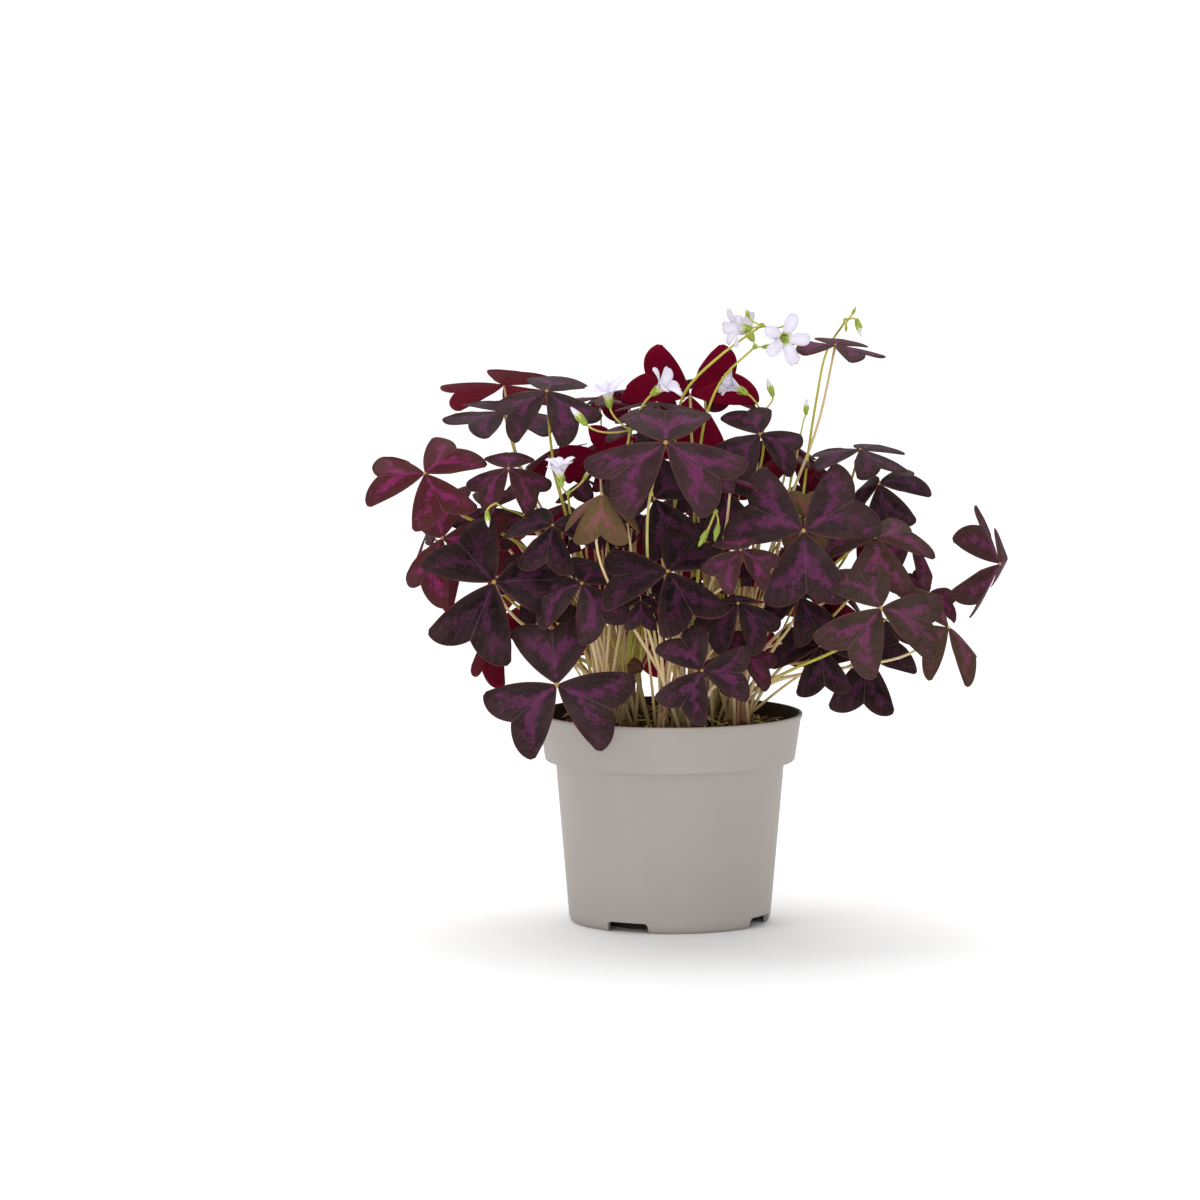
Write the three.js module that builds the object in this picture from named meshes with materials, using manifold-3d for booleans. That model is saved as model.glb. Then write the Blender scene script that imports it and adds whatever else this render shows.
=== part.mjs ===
// Purple shamrock (Oxalis triangularis) growing in its nursery pot.
// Millimetres, +Z up. The origin is the centre of the pot's foot, on the surface that it stands on.
// Compass angles are in degrees from +X towards +Y, and the plant is seen best from -Y.
import * as THREE from "three";
import { mergeVertices } from "three/addons/utils/BufferGeometryUtils.js";
import Module from "manifold-3d";

const wasm = await Module();
wasm.setup();

// ---- Driving dimensions ----

const POT = {
  height: 95,
  rimRadius: 60,
  collarHeight: 21.5, // the deep band below the rim
  collarFootRadius: 56.6,
  shoulderRadius: 51.8, // the body, just under the collar
  heelRadius: 45.8,
  heelHeight: 3.4,
  footRadius: 44.2,
  wall: 1.4,
  floor: 1.5,
  dishRadius: 33, // the middle of the floor, which stands on the ground
  channelHeight: 6.8, // top of the raised ring round the dish, which carries the drain holes
  sides: 30,
};
const NOTCH = { count: 4, first: -115, width: 20, height: 4.7, corner: 2.2, depth: 10 };
const DRAIN = { count: 8, radius: 2.4, ring: 39.4, sides: 6 };
const SOIL = { rimDrop: 7, mound: 2.5, sides: 20, gap: 0.3 };
const BLADE = 0.6; // thickness of leaflets and petals
const GAP = 0.35; // between a leaf and the stalk that carries it
const CLEAR = 0.35; // kept between a stalk and any other piece
const STALK = { radius: 0.85, sides: 3, steps: 5, freeHeight: 9 };
const SCAPE = { radius: 0.85, sides: 3, steps: 9 };
const PEDICEL = { radius: 0.5, sides: 3, steps: 3 };

// One leaflet, as shares of its length: two lobes with a shallow notch between them.
const LEAFLET = {
  notch: 0.76,
  lobe: 0.25,
  lobeAt: 0.8,
  heel: 0.13,
  baseAngle: 52,
  tipAngle: 38,
  bend: 0.12,
  hub: 2,
};

const RHIZOME = { length: 24, radius: 4.6, scale: 0.8, rings: 3, sides: 7 };
// Where each rhizome lies on the soil: x, y and the way it points.
const CROWNS = [
  { name: "clump_front_left", x: -25, y: -20, turn: 40 },
  { name: "clump_front", x: 3, y: -32, turn: 0 },
  { name: "clump_front_right", x: 29, y: -18, turn: -50 },
  { name: "clump_back_right", x: 21, y: 21, turn: 60 },
  { name: "clump_back_left", x: -20, y: 22, turn: -30 },
];

// Every leaf: its node, where its three leaflets meet, the compass angle that its face turns to, how far
// it leans that way from level, the turn of its first leaflet, the leaflets' length, their droop and fold.
const LEAVES = [
  // left edge
  ["leaf_01", -109, -45, 207, -98, 42, 178, 29, 3, 12],
  ["leaf_02", -102, -22, 176, -128, 64, 6, 31, 8, 18],
  ["leaf_03", -111, 20, 174, 180, 65, 270, 25, 0, 8],
  ["leaf_04_15", -78, -60, 160, -92, 62, -112, 37, 8, 10],
  ["leaf_05", -72, -40, 209, -90, 45, -30, 22, 20, 20],
  ["leaf_06", -82, 4, 187, -100, 45, -30, 21, 15, 15],
  // upper left
  ["leaf_07", -75, 2, 231, -75, 14, 208, 28, 0, 6],
  ["leaf_08", -76, 44, 240, 90, 26, -10, 30, 0, 8],
  ["leaf_09", -55, -34, 243, -95, 38, -38, 27, 18, 15],
  ["leaf_10", -32, 8, 212, 90, 60, -10, 20, 8, 10],
  // front, left of the middle
  ["leaf_11", -50, -74, 116, -95, 72, -22, 35, 8, 10],
  ["leaf_12", -58, -32, 162, -90, 50, -80, 25, 20, 15],
  ["leaf_13", -52, -56, 185, -90, 40, 20, 24, 15, 15],
  ["leaf_04_15", -39, -64, 160, -90, 50, -55, 27, 22, 15],
  ["leaf_16", -30, -80, 201, -90, 30, -92, 24, 38, 20],
  // front, middle
  ["leaf_17", -2, -72, 223, -90, 42, -30, 38, 12, 12],
  ["leaf_18_25", -7, -36, 195, -90, 55, -65, 28, 12, 12],
  ["leaf_19", -1, -70, 166, -90, 45, 178, 32, 5, 10],
  ["leaf_20", 1, -38, 150, -90, 60, -100, 20, 15, 15],
  ["leaf_21", 14, -88, 124, -90, 70, 0, 24, 8, 10],
  ["leaf_22", 31, -50, 127, -80, 50, -20, 20, 15, 12],
  ["leaf_23", 30, -62, 151, -90, 40, -30, 24, 30, 15],
  ["leaf_24", 31, -86, 177, -90, 45, -20, 20, 23, 14],
  ["leaf_18_25", 24, -32, 199, -90, 50, -80, 24, 18, 15],
  ["leaf_26_31_34_37", 27, -48, 205, -90, 5, 0, 14, 8, 10],
  // top
  ["leaf_27", -6, -22, 237, -90, 10, 0, 22, 8, 10],
  ["leaf_28", 9, 6, 238, 90, 72, 150, 31, 0, 10],
  ["leaf_29", 40, -24, 223, -80, 50, -20, 23, 12, 15],
  ["leaf_30", 74, -10, 262, -50, 14, 160, 23, 0, 25],
  // right
  ["leaf_26_31_34_37", 59, -60, 183, -90, 75, 33, 36, 5, 12],
  ["leaf_32", 86, 14, 213, -90, 15, 180, 24, 5, 10],
  ["leaf_33", 94, -4, 199, -120, 46, -66, 24, 24, 20],
  ["leaf_26_31_34_37", 91, -47, 179, -85, 38, -88, 30, 15, 12],
  ["leaf_35", 109, 8, 175, -20, 40, -70, 28, 20, 25],
  ["leaf_36", 149, 4, 162, -14, 92, -120, 28, 10, 28],
  ["leaf_26_31_34_37", 93, -72, 150, -82, 55, -12, 32, 8, 12],
  ["leaf_38", 124, -42, 138, -35, 56, -164, 28, 5, 25],
  ["leaf_39", 88, -18, 123, -72, 60, -97, 29, 12, 12],
  ["leaf_40", 67, -35, 129, -80, 50, -85, 24, 20, 15],
  ["leaf_41", 58, -36, 151, -90, 50, -60, 22, 20, 15],
];

// The far side of the dome carries leaves in pairs that lean on each other, row above row: the compass
// angles of the pairs, then height, distance from the axis, lean and the leaflets' length.
const BACK_ROWS = [
  { angles: [29, 83, 138], height: 133, reach: 92, lean: 66, size: 31, apart: 12 },
  { angles: [41, 96, 151], height: 168, reach: 98, lean: 50, size: 31, apart: 12 },
  { angles: [56, 124], height: 210, reach: 74, lean: 34, size: 29, apart: 15 },
  { angles: [92], height: 242, reach: 42, lean: 18, size: 27, apart: 25 },
];
const PAIR = { inward: 6, step: 2, droop: 12, fold: 13 };

// The flower stalks: where each rises from the soil, the points that it passes, the fork on top, and
// the flowers and buds of its umbel, each with its own place and the direction that it opens in.
const SPRAYS = [
  {
    name: "spray_top",
    root: [4, 2],
    by: [[2, -6, 200], [6, -14, 240], [22, -13, 257]],
    fork: [41, -14, 271],
    flowers: [
      { kind: "bloom", at: [36, -17, 270], aim: [-0.8, -0.5, -0.2] },
      { kind: "bloom", at: [50, -17, 266], aim: [0.2, -1, -0.1] },
      { kind: "bud", at: [35, -13, 275], aim: [-0.4, 0, 1] },
      { kind: "bud", at: [52, -10, 272], aim: [0.5, 0.2, 0.9] },
    ],
  },
  {
    name: "spray_top_low",
    root: [8, -2],
    by: [[12, -8, 200], [18, -11, 237], [26, -10, 250]],
    fork: [38, -8, 261],
    flowers: [
      { kind: "bloom", at: [37, -4, 264], aim: [-0.4, 0.6, 0.6] },
      { kind: "bud", at: [42, -9, 261], aim: [1, -0.1, 0.1] },
    ],
  },
  {
    name: "spray_tall",
    root: [30, 4],
    by: [[56, 2, 170], [63, 0, 215], [71, 4, 258]],
    fork: [79, 5, 272],
    flowers: [
      { kind: "bud", at: [82, 5, 275], aim: [0.5, 0, 1] },
      { kind: "bud", at: [84, 3, 272], aim: [0.3, -0.2, -1] },
      { kind: "bud", at: [79, -1, 270], aim: [0, -0.5, -1] },
    ],
  },
  {
    name: "spray_right",
    root: [18, -4],
    by: [[34, -2, 180], [42, -1, 215]],
    fork: [41, -1, 231],
    flowers: [
      { kind: "bloom", at: [34, -6, 240], aim: [-0.7, -0.6, 0.5] },
      { kind: "bud", at: [46, 0, 239], aim: [-0.3, 0, 1] },
    ],
  },
  {
    name: "spray_middle",
    root: [-4, -6],
    by: [[-14, -20, 170], [-18, -30, 205]],
    fork: [-18, -40, 226],
    flowers: [
      { kind: "bloom", at: [-8, -40, 242], aim: [0.1, -0.6, 0.8] },
      { kind: "bloom", at: [-27, -44, 237], aim: [-0.1, -0.5, 0.9] },
      { kind: "bud", at: [-38, -50, 230], aim: [-0.7, -0.1, 0.8] },
    ],
  },
  {
    name: "spray_left",
    root: [-14, -8],
    by: [[-34, -26, 150], [-44, -42, 186]],
    fork: [-45, -64, 200],
    flowers: [
      { kind: "bloom", at: [-48, -68, 204], aim: [-0.2, -0.3, 1] },
      { kind: "bud", at: [-38, -60, 206], aim: [0.6, 0, 1] },
    ],
  },
  {
    name: "spray_front",
    root: [10, -16],
    by: [[10, -34, 130], [14, -52, 172]],
    fork: [20, -66, 192],
    flowers: [
      { kind: "bud", at: [21, -71, 186], aim: [-0.2, -0.1, -1] },
      { kind: "bud", at: [16, -68, 183], aim: [-0.5, -0.1, -0.9] },
    ],
  },
];
const BLOOM = { throat: 2.3, depth: 5, petal: 10.5, halfWidth: 3.3, petals: 5 };
const CALYX = [[0, -1], [1.3, 0], [1.7, 2.6], [0, 3.2]];
const BUD = [[0, -1], [1.5, 0.8], [1.7, 3.8], [0, 7.6]];

// ---- Solids ----

// A closed geometry as a solid, with its faces turned outwards.
function solidOf(geometry) {
  const bare = geometry.index ? geometry.toNonIndexed() : geometry.clone();
  bare.deleteAttribute("normal");
  bare.deleteAttribute("uv");
  const merged = mergeVertices(bare, 1e-3);
  const build = (triVerts) =>
    new wasm.Manifold(
      new wasm.Mesh({ numProp: 3, vertProperties: merged.attributes.position.array, triVerts }),
    );
  const faces = new Uint32Array(merged.index.array);
  const solid = build(faces);
  return solid.volume() < 0 ? build(faces.slice().reverse()) : solid;
}

function geometryOf(solid) {
  const { vertProperties, triVerts, numProp, numVert } = solid.getMesh();
  const positions = new Float32Array(numVert * 3);
  for (let i = 0; i < numVert; i++) {
    positions.set(vertProperties.subarray(i * numProp, i * numProp + 3), i * 3);
  }
  const geometry = new THREE.BufferGeometry();
  geometry.setAttribute("position", new THREE.BufferAttribute(positions, 3));
  geometry.setIndex(new THREE.BufferAttribute(triVerts, 1));
  geometry.computeVertexNormals();
  return geometry;
}

const joined = (solids) => solids.reduce((whole, piece) => whole.add(piece));

// A solid of revolution about +Z from a closed profile of [radius, height] pairs.
function turned(profile, sides) {
  const points = profile.map(([radius, height]) => new THREE.Vector2(radius, height));
  return new THREE.LatheGeometry(points, sides).rotateX(Math.PI / 2);
}

// A round bar along a curve.
function tube(curve, { radius, sides, steps }) {
  const corners = [];
  for (let i = 0; i < sides; i++) {
    const angle = (2 * Math.PI * i) / sides;
    corners.push(new THREE.Vector2(radius * Math.cos(angle), radius * Math.sin(angle)));
  }
  const section = new THREE.Shape(corners);
  return solidOf(
    new THREE.ExtrudeGeometry(section, { steps, extrudePath: curve, bevelEnabled: false }),
  );
}

// A thin body under a surface of triangles: the same triangles on both faces, joined along the edge.
function blade(points, triangles) {
  const top = new THREE.BufferGeometry().setFromPoints(points);
  top.setIndex(triangles.flat());
  top.computeVertexNormals();
  const normals = top.attributes.normal;
  const under = points.map((point, i) =>
    new THREE.Vector3().fromBufferAttribute(normals, i).multiplyScalar(-BLADE).add(point),
  );
  const count = points.length;
  const faces = [];
  const edges = new Map();
  for (const [a, b, c] of triangles) {
    faces.push(a, b, c, c + count, b + count, a + count);
    for (const [from, to] of [[a, b], [b, c], [c, a]]) {
      if (!edges.delete(`${to}-${from}`)) edges.set(`${from}-${to}`, [from, to]);
    }
  }
  for (const [from, to] of edges.values()) {
    faces.push(from, from + count, to, to, from + count, to + count);
  }
  const closed = new THREE.BufferGeometry().setFromPoints([...points, ...under]);
  closed.setIndex(faces);
  return closed;
}

const radians = THREE.MathUtils.degToRad;
const compass = (degrees) => new THREE.Vector3(Math.cos(radians(degrees)), Math.sin(radians(degrees)), 0);
const UP = new THREE.Vector3(0, 0, 1);

// ---- Pot ----

const collarFoot = POT.height - POT.collarHeight;
const channelUnder = POT.channelHeight - POT.floor;

// The inside of the pot, from the axis of its floor up to the rim, drawn in by a gap for what fills it.
function innerProfile(gap) {
  const bodyWall = POT.wall + gap;
  const step = collarFoot + POT.wall + gap;
  return [
    [0, POT.floor + gap],
    [POT.dishRadius + 0.4 - gap, POT.floor + gap],
    [POT.dishRadius + 2.2 - gap, POT.channelHeight + gap],
    [POT.heelRadius - bodyWall, POT.channelHeight + gap],
    [POT.shoulderRadius - bodyWall, step],
    [POT.collarFootRadius - bodyWall, step],
    [POT.rimRadius - 0.6 - bodyWall, POT.height - 0.8],
  ];
}

function potSolid() {
  const outside = [
    [0, 0],
    [POT.dishRadius, 0],
    [POT.dishRadius + 1.4, channelUnder],
    [POT.footRadius - POT.wall, channelUnder],
    [POT.footRadius - POT.wall, 0],
    [POT.footRadius, 0],
    [POT.heelRadius - 0.4, POT.heelHeight * 0.4],
    [POT.heelRadius, POT.heelHeight],
    [POT.shoulderRadius, collarFoot],
    [POT.collarFootRadius - 0.5, collarFoot],
    [POT.collarFootRadius, collarFoot + 0.7],
    [POT.rimRadius - 0.7, POT.height - 2],
    [POT.rimRadius, POT.height - 1.5],
    [POT.rimRadius, POT.height - 0.5],
    [POT.rimRadius - 0.5, POT.height],
    [POT.rimRadius - 1.6, POT.height],
  ];
  const inside = innerProfile(0).reverse();
  let pot = solidOf(turned([...outside, ...inside], POT.sides));
  for (let i = 0; i < NOTCH.count; i++) pot = pot.subtract(notchSolid(NOTCH.first + (360 / NOTCH.count) * i));
  for (let i = 0; i < DRAIN.count; i++) pot = pot.subtract(drainSolid((360 / DRAIN.count) * (i + 0.5)));
  return pot;
}

// A low arch through the foot ring, open downwards.
function notchSolid(angle) {
  const { width, height, corner, depth } = NOTCH;
  const arch = new THREE.Shape();
  arch.moveTo(-width / 2, -1);
  arch.lineTo(width / 2, -1);
  arch.lineTo(width / 2, height - corner);
  arch.quadraticCurveTo(width / 2, height, width / 2 - corner, height);
  arch.lineTo(corner - width / 2, height);
  arch.quadraticCurveTo(-width / 2, height, -width / 2, height - corner);
  const geometry = new THREE.ExtrudeGeometry(arch, { depth, bevelEnabled: false, curveSegments: 2 });
  const outward = compass(angle);
  const across = new THREE.Vector3().crossVectors(UP, outward);
  geometry.applyMatrix4(new THREE.Matrix4().makeBasis(across, UP, outward));
  const start = outward.multiplyScalar(POT.dishRadius + 5);
  return solidOf(geometry.translate(start.x, start.y, 0));
}

function drainSolid(angle) {
  const hole = new THREE.CylinderGeometry(DRAIN.radius, DRAIN.radius, 4, DRAIN.sides);
  const place = compass(angle).multiplyScalar(DRAIN.ring);
  return solidOf(hole.rotateX(Math.PI / 2).translate(place.x, place.y, POT.channelHeight));
}

// ---- Soil ----

const soilEdge = POT.height - SOIL.rimDrop;
const soilHeight = (radius) => soilEdge + SOIL.mound * (1 - (radius / POT.rimRadius) ** 2);

function soilSolid() {
  const profile = innerProfile(SOIL.gap);
  const wall = profile.pop();
  const step = profile.at(-1);
  const share = (soilEdge - step[1]) / (wall[1] - step[1]);
  profile.push([step[0] + (wall[0] - step[0]) * share, soilEdge]);
  for (const radius of [40, 20]) profile.push([radius, soilHeight(radius)]);
  profile.push([0, soilHeight(0)]);
  const geometry = turned(profile, SOIL.sides);
  // Crumbly top: the vertices above the collar's foot rise and fall a little.
  const places = geometry.attributes.position;
  for (let i = 0; i < places.count; i++) {
    const [x, y, z] = [places.getX(i), places.getY(i), places.getZ(i)];
    if (z <= soilEdge + 0.01) continue;
    places.setZ(i, z + 0.9 * Math.sin(0.31 * x + 1.3) * Math.cos(0.27 * y));
  }
  return solidOf(geometry);
}

// ---- Leaves ----

function leafOf([node, x, y, z, facing, lean, turn, size, droop, fold]) {
  return { node, hub: new THREE.Vector3(x, y, z), facing, lean, turn, size, droop, fold };
}

// The far rows: each pair turns a little inwards, so that its inner leaflets cross and hold together.
function backLeaves() {
  const rows = [];
  for (const { angles, height, reach, lean, size, apart } of BACK_ROWS) {
    for (const angle of angles) {
      const node = `leaf_back_${rows.length / 2 + 1}`;
      for (const side of [-1, 1]) {
        const place = compass(angle + side * apart).multiplyScalar(reach);
        const facing = angle + side * (apart - PAIR.inward);
        const tall = height - side * PAIR.step;
        const turn = side < 0 ? 8 : 172;
        rows.push([node, place.x, place.y, tall, facing, lean, turn, size, PAIR.droop, PAIR.fold]);
      }
    }
  }
  return rows;
}

// The leaf's own directions: out of its face, and the two across it.
function leafAxes({ facing, lean }) {
  const level = new THREE.Vector3(-Math.sin(radians(facing)), Math.cos(radians(facing)), 0);
  const normal = compass(facing).multiplyScalar(Math.sin(radians(lean)));
  normal.z = Math.cos(radians(lean));
  return { normal, level, rise: new THREE.Vector3().crossVectors(normal, level) };
}

// How far the leaflet's outer edge lies from the hub, across it from -1 to 1.
function edgeShare(across) {
  const { notch, lobe, lobeAt, heel } = LEAFLET;
  const side = Math.abs(across);
  if (side > lobeAt) return notch + lobe - heel * ((side - lobeAt) / (1 - lobeAt)) ** 2;
  return notch + lobe * Math.sin((Math.PI / 2) * (side / lobeAt));
}

// A point on a leaflet: across it from -1 to 1, and out from the hub from 0 to 1.
function leafletPoint(leaf, number, across, out) {
  const { normal, level, rise } = leafAxes(leaf);
  const turn = radians(leaf.turn + 120 * number);
  const away = level.multiplyScalar(Math.cos(turn)).addScaledVector(rise, Math.sin(turn));
  const side = new THREE.Vector3().crossVectors(normal, away);
  const droop = radians(leaf.droop);
  const rib = away.clone().multiplyScalar(Math.cos(droop)).addScaledVector(normal, -Math.sin(droop));
  const above = normal.multiplyScalar(Math.cos(droop)).addScaledVector(away, Math.sin(droop));
  const { baseAngle, tipAngle, bend } = LEAFLET;
  const spread = radians(across * (baseAngle + (tipAngle - baseAngle) * out));
  const reach = out * edgeShare(across) * leaf.size;
  const along = reach * Math.cos(spread);
  const sideways = reach * Math.sin(spread);
  const fold = radians(leaf.fold);
  const drop = Math.abs(sideways) * Math.sin(fold) + (bend * along * along) / leaf.size;
  return leaf.hub
    .clone()
    .addScaledVector(rib, along)
    .addScaledVector(side, sideways * Math.cos(fold))
    .addScaledVector(above, -drop);
}

// Three leaflets round a small hub, as one blade.
function leafSolid(leaf) {
  const points = [leaf.hub.clone()];
  const triangles = [];
  const row = (number, out, stations) =>
    stations.map((across) => points.push(leafletPoint(leaf, number, across, out)) - 1);
  const ring = [];
  for (let number = 0; number < 3; number++) {
    const [right, left] = row(number, LEAFLET.hub / leaf.size, [-1, 1]);
    const [rib] = row(number, 0.55, [0]);
    const edge = row(number, 1, [-1, -0.8, -0.42, 0, 0.42, 0.8, 1]);
    ring.push(right, left);
    const outline = [right, ...edge, left, 0];
    outline.forEach((from, i) => triangles.push([rib, from, outline[(i + 1) % outline.length]]));
  }
  for (const i of [1, 3, 5]) triangles.push([0, ring[i], ring[(i + 1) % ring.length]]);
  return solidOf(blade(points, triangles));
}

// ---- Stalks ----

// Where a rhizome lies: its length along X turned to its own direction, half sunk in the soil.
function laid(geometry, { x, y, turn }) {
  return geometry.rotateZ(radians(turn)).translate(x, y, soilHeight(Math.hypot(x, y)));
}

function rhizomeSolid(crown) {
  const { length, radius, scale, rings, sides } = RHIZOME;
  const profile = [[0, -length / 2]];
  for (let i = 0; i <= 2 * rings; i++) {
    const along = i / (2 * rings);
    const swell = Math.sin(Math.PI * (0.12 + 0.76 * along));
    profile.push([(radius + (i % 2) * scale) * swell, length * (along - 0.5) * 0.96]);
  }
  profile.push([0, length / 2]);
  return solidOf(laid(turned(profile, sides).rotateY(Math.PI / 2), crown));
}

// The plain hollow in the soil that a rhizome lies in.
function hollowSolid(crown) {
  const { length, radius } = RHIZOME;
  const hollow = new THREE.SphereGeometry(1, 8, 4).scale(length * 0.62, radius * 1.5, radius * 1.5);
  return solidOf(laid(hollow, crown));
}

// Boxes tell quickly which obstacles a piece could touch at all.
function near(a, b) {
  const [boxA, boxB] = [a.boundingBox(), b.boundingBox()];
  return [0, 1, 2].every((i) => boxA.min[i] <= boxB.max[i] && boxB.min[i] <= boxA.max[i]);
}
const touches = (a, b) => near(a, b) && a.intersect(b).volume() > 1e-4;
const grown = (bar) => ({ ...bar, radius: bar.radius + CLEAR });

// The first of some curves that runs clear of every obstacle.
function clearCurve(curves, bar, obstacles, own = [], siblings = []) {
  for (const curve of curves) {
    const envelope = tube(curve, grown(bar));
    if (obstacles.some((obstacle) => touches(envelope, obstacle))) continue;
    const bare = tube(curve, bar);
    if (own.some((obstacle) => touches(bare, obstacle))) continue;
    const above = bare.trimByPlane([0, 0, 1], POT.height + STALK.freeHeight);
    if (!siblings.some((sibling) => touches(above, sibling))) return curve;
  }
  return null;
}

// Ways for a leaf's stalk from its root up to the underside of its hub, the plainest first.
function* stalkCurves(root, leaf) {
  const { normal } = leafAxes(leaf);
  const outward = new THREE.Vector3(leaf.hub.x - root.x, leaf.hub.y - root.y, 0).normalize();
  const span = root.distanceTo(leaf.hub);
  const aside = new THREE.Vector3().crossVectors(UP, outward);
  const drop = BLADE + GAP + STALK.radius * Math.tan(radians(leaf.droop + 0.5 * leaf.fold));
  const end = leaf.hub.clone().addScaledVector(normal, -drop);
  for (const swing of [0, 10, -10, 22, -22, 36, -36]) {
    for (const tuck of [0.65, 0.35, 1]) {
      const arrival = normal.clone().multiplyScalar(tuck).addScaledVector(UP, 1 - tuck).normalize();
      for (const lift of [0.5, 0.3, 0.7]) {
        for (const sway of [0, 8, -8, 18, -18]) {
          const low = root.clone().addScaledVector(UP, span * lift).addScaledVector(aside, swing);
          const high = end.clone().addScaledVector(arrival, -span * 0.3).addScaledVector(aside, sway);
          yield new THREE.CubicBezierCurve3(root, low.addScaledVector(outward, span * 0.08), high, end);
        }
      }
    }
  }
}

// ---- Flowers ----

// A funnel of five blunt petals that opens along +Z from its base at the origin.
function corolla() {
  const { throat, depth, petal, halfWidth, petals } = BLOOM;
  const points = [new THREE.Vector3()];
  const triangles = [];
  const ring = [];
  for (let k = 0; k < petals; k++) {
    const out = compass((360 / petals) * k);
    const side = new THREE.Vector3().crossVectors(UP, out);
    const point = (reach, aside, rise) => {
      const place = out.clone().multiplyScalar(reach).addScaledVector(side, aside);
      return points.push(place.addScaledVector(UP, rise)) - 1;
    };
    const base = throat * Math.sin(radians(150 / petals));
    const [right, left] = [point(throat, -base, depth), point(throat, base, depth)];
    const rib = point(petal * 0.6, 0, depth + 2.1);
    const outline = [
      right,
      point(petal * 0.72, -halfWidth, depth + 3),
      point(petal, -halfWidth * 0.5, depth + 3),
      point(petal, halfWidth * 0.5, depth + 3),
      point(petal * 0.72, halfWidth, depth + 3),
      left,
    ];
    outline.forEach((from, i) => triangles.push([rib, from, outline[(i + 1) % outline.length]]));
    ring.push(right, left);
  }
  ring.forEach((from, i) => triangles.push([0, from, ring[(i + 1) % ring.length]]));
  return blade(points, triangles);
}

// A flower or bud on its pedicel.
function flowerSolids(fork, { kind, at, aim }) {
  const foot = new THREE.Vector3(...at);
  const aimed = new THREE.Vector3(...aim).normalize();
  const turn = new THREE.Quaternion().setFromUnitVectors(UP, aimed);
  const placed = (geometry) => solidOf(geometry.applyQuaternion(turn).translate(...at));
  const bow = foot.clone().addScaledVector(aimed, -foot.distanceTo(fork) * 0.4);
  const pedicel = tube(new THREE.QuadraticBezierCurve3(fork, bow, foot), PEDICEL);
  if (kind === "bud") return [pedicel, placed(turned(BUD, 5))];
  return [pedicel, placed(turned(CALYX, 5)), placed(corolla())];
}

// Ways for a flower stalk: its hidden lower half moves aside, and its upper half only in depth.
function* scapeCurves({ root, by, fork }) {
  const foot = new THREE.Vector3(...root, soilHeight(Math.hypot(...root)) - 4);
  const [knee, ...rest] = by.map((point) => new THREE.Vector3(...point));
  for (const depth of [0, 7, -7, 14, -14, 21, -21]) {
    const seen = rest.map((point) => point.clone().setY(point.y + depth));
    for (const reach of [0, 6, 12, 18, 26, 34]) {
      for (let angle = 0; angle < 360; angle += reach ? 30 : 360) {
        const moved = knee.clone().addScaledVector(compass(angle), reach);
        const low = foot.clone().lerp(moved, 0.35).setZ(foot.z + (moved.z - foot.z) * 0.45);
        yield new THREE.CatmullRomCurve3([foot, low, moved, ...seen, new THREE.Vector3(...fork)]);
      }
    }
  }
}

// The plain hole in the soil that a flower stalk stands in.
function holeSolid({ root }) {
  const hole = new THREE.CylinderGeometry(3.8, 2, 10, 6).rotateX(Math.PI / 2);
  return solidOf(hole.translate(...root, soilHeight(Math.hypot(...root))));
}

// ---- The plant, put together ----

const leaves = [...LEAVES, ...backLeaves()].map(leafOf);
const pot = potSolid();
for (const leaf of leaves) leaf.solid = leafSolid(leaf);
const blades = leaves.map(({ solid }) => solid);

const sprays = new Map();
for (const spray of SPRAYS) {
  const curve = clearCurve(scapeCurves(spray), SCAPE, [pot, ...blades, ...sprays.values()]);
  if (!curve) throw new Error(`${spray.name} has no clear way`);
  const fork = new THREE.Vector3(...spray.fork);
  const flowers = spray.flowers.flatMap((flower) => flowerSolids(fork, flower));
  sprays.set(spray.name, joined([tube(curve, SCAPE), ...flowers]));
}

// The rhizomes that a leaf could grow from, the nearest to its own side first.
function crownsFor(leaf) {
  const distance = ({ x, y }) => Math.hypot(leaf.hub.x * 0.35 - x, leaf.hub.y * 0.35 - y);
  return [...CROWNS].sort((a, b) => distance(a) - distance(b));
}

// Where the next stalk of a clump leaves its rhizome.
function rootOn(crown, taken) {
  const slot = ((taken * 5) % 9) / 9 - 0.45;
  const root = compass(crown.turn).multiplyScalar(slot * RHIZOME.length * 0.8);
  return root.add(new THREE.Vector3(crown.x, crown.y, soilHeight(Math.hypot(crown.x, crown.y)) + 1));
}

const clumps = new Map(CROWNS.map((crown) => [crown, [rhizomeSolid(crown)]]));

// Grows a leaf's stalk from the first rhizome that a clear way leads from.
function growStalk(leaf) {
  const foreign = [pot, ...sprays.values(), ...blades.filter((solid) => solid !== leaf.solid)];
  for (const crown of crownsFor(leaf)) {
    const others = [...clumps].filter(([other]) => other !== crown).flatMap(([, pieces]) => pieces);
    const clump = clumps.get(crown);
    const curves = stalkCurves(rootOn(crown, clump.length), leaf);
    const curve = clearCurve(curves, STALK, [...foreign, ...others], [leaf.solid], clump.slice(1));
    if (curve) return clump.push(tube(curve, STALK));
  }
  throw new Error(`${leaf.node} has no clear way`);
}
for (const leaf of leaves) growStalk(leaf);

const inSoil = [...CROWNS.map(hollowSolid), ...SPRAYS.map(holeSolid)];
const soil = inSoil.reduce((rest, hole) => rest.subtract(hole), soilSolid());

// ---- Scene ----

const finishes = {
  pot: { color: 0xb0a8a2, roughness: 0.55 },
  soil: { color: 0x2a1d16, roughness: 0.95 },
  stalk: { color: 0xb4ab5c, roughness: 0.6 },
  leaf: { color: 0x43283c, roughness: 0.6 },
  bloom: { color: 0xf2eef6, roughness: 0.7 },
};

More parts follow.
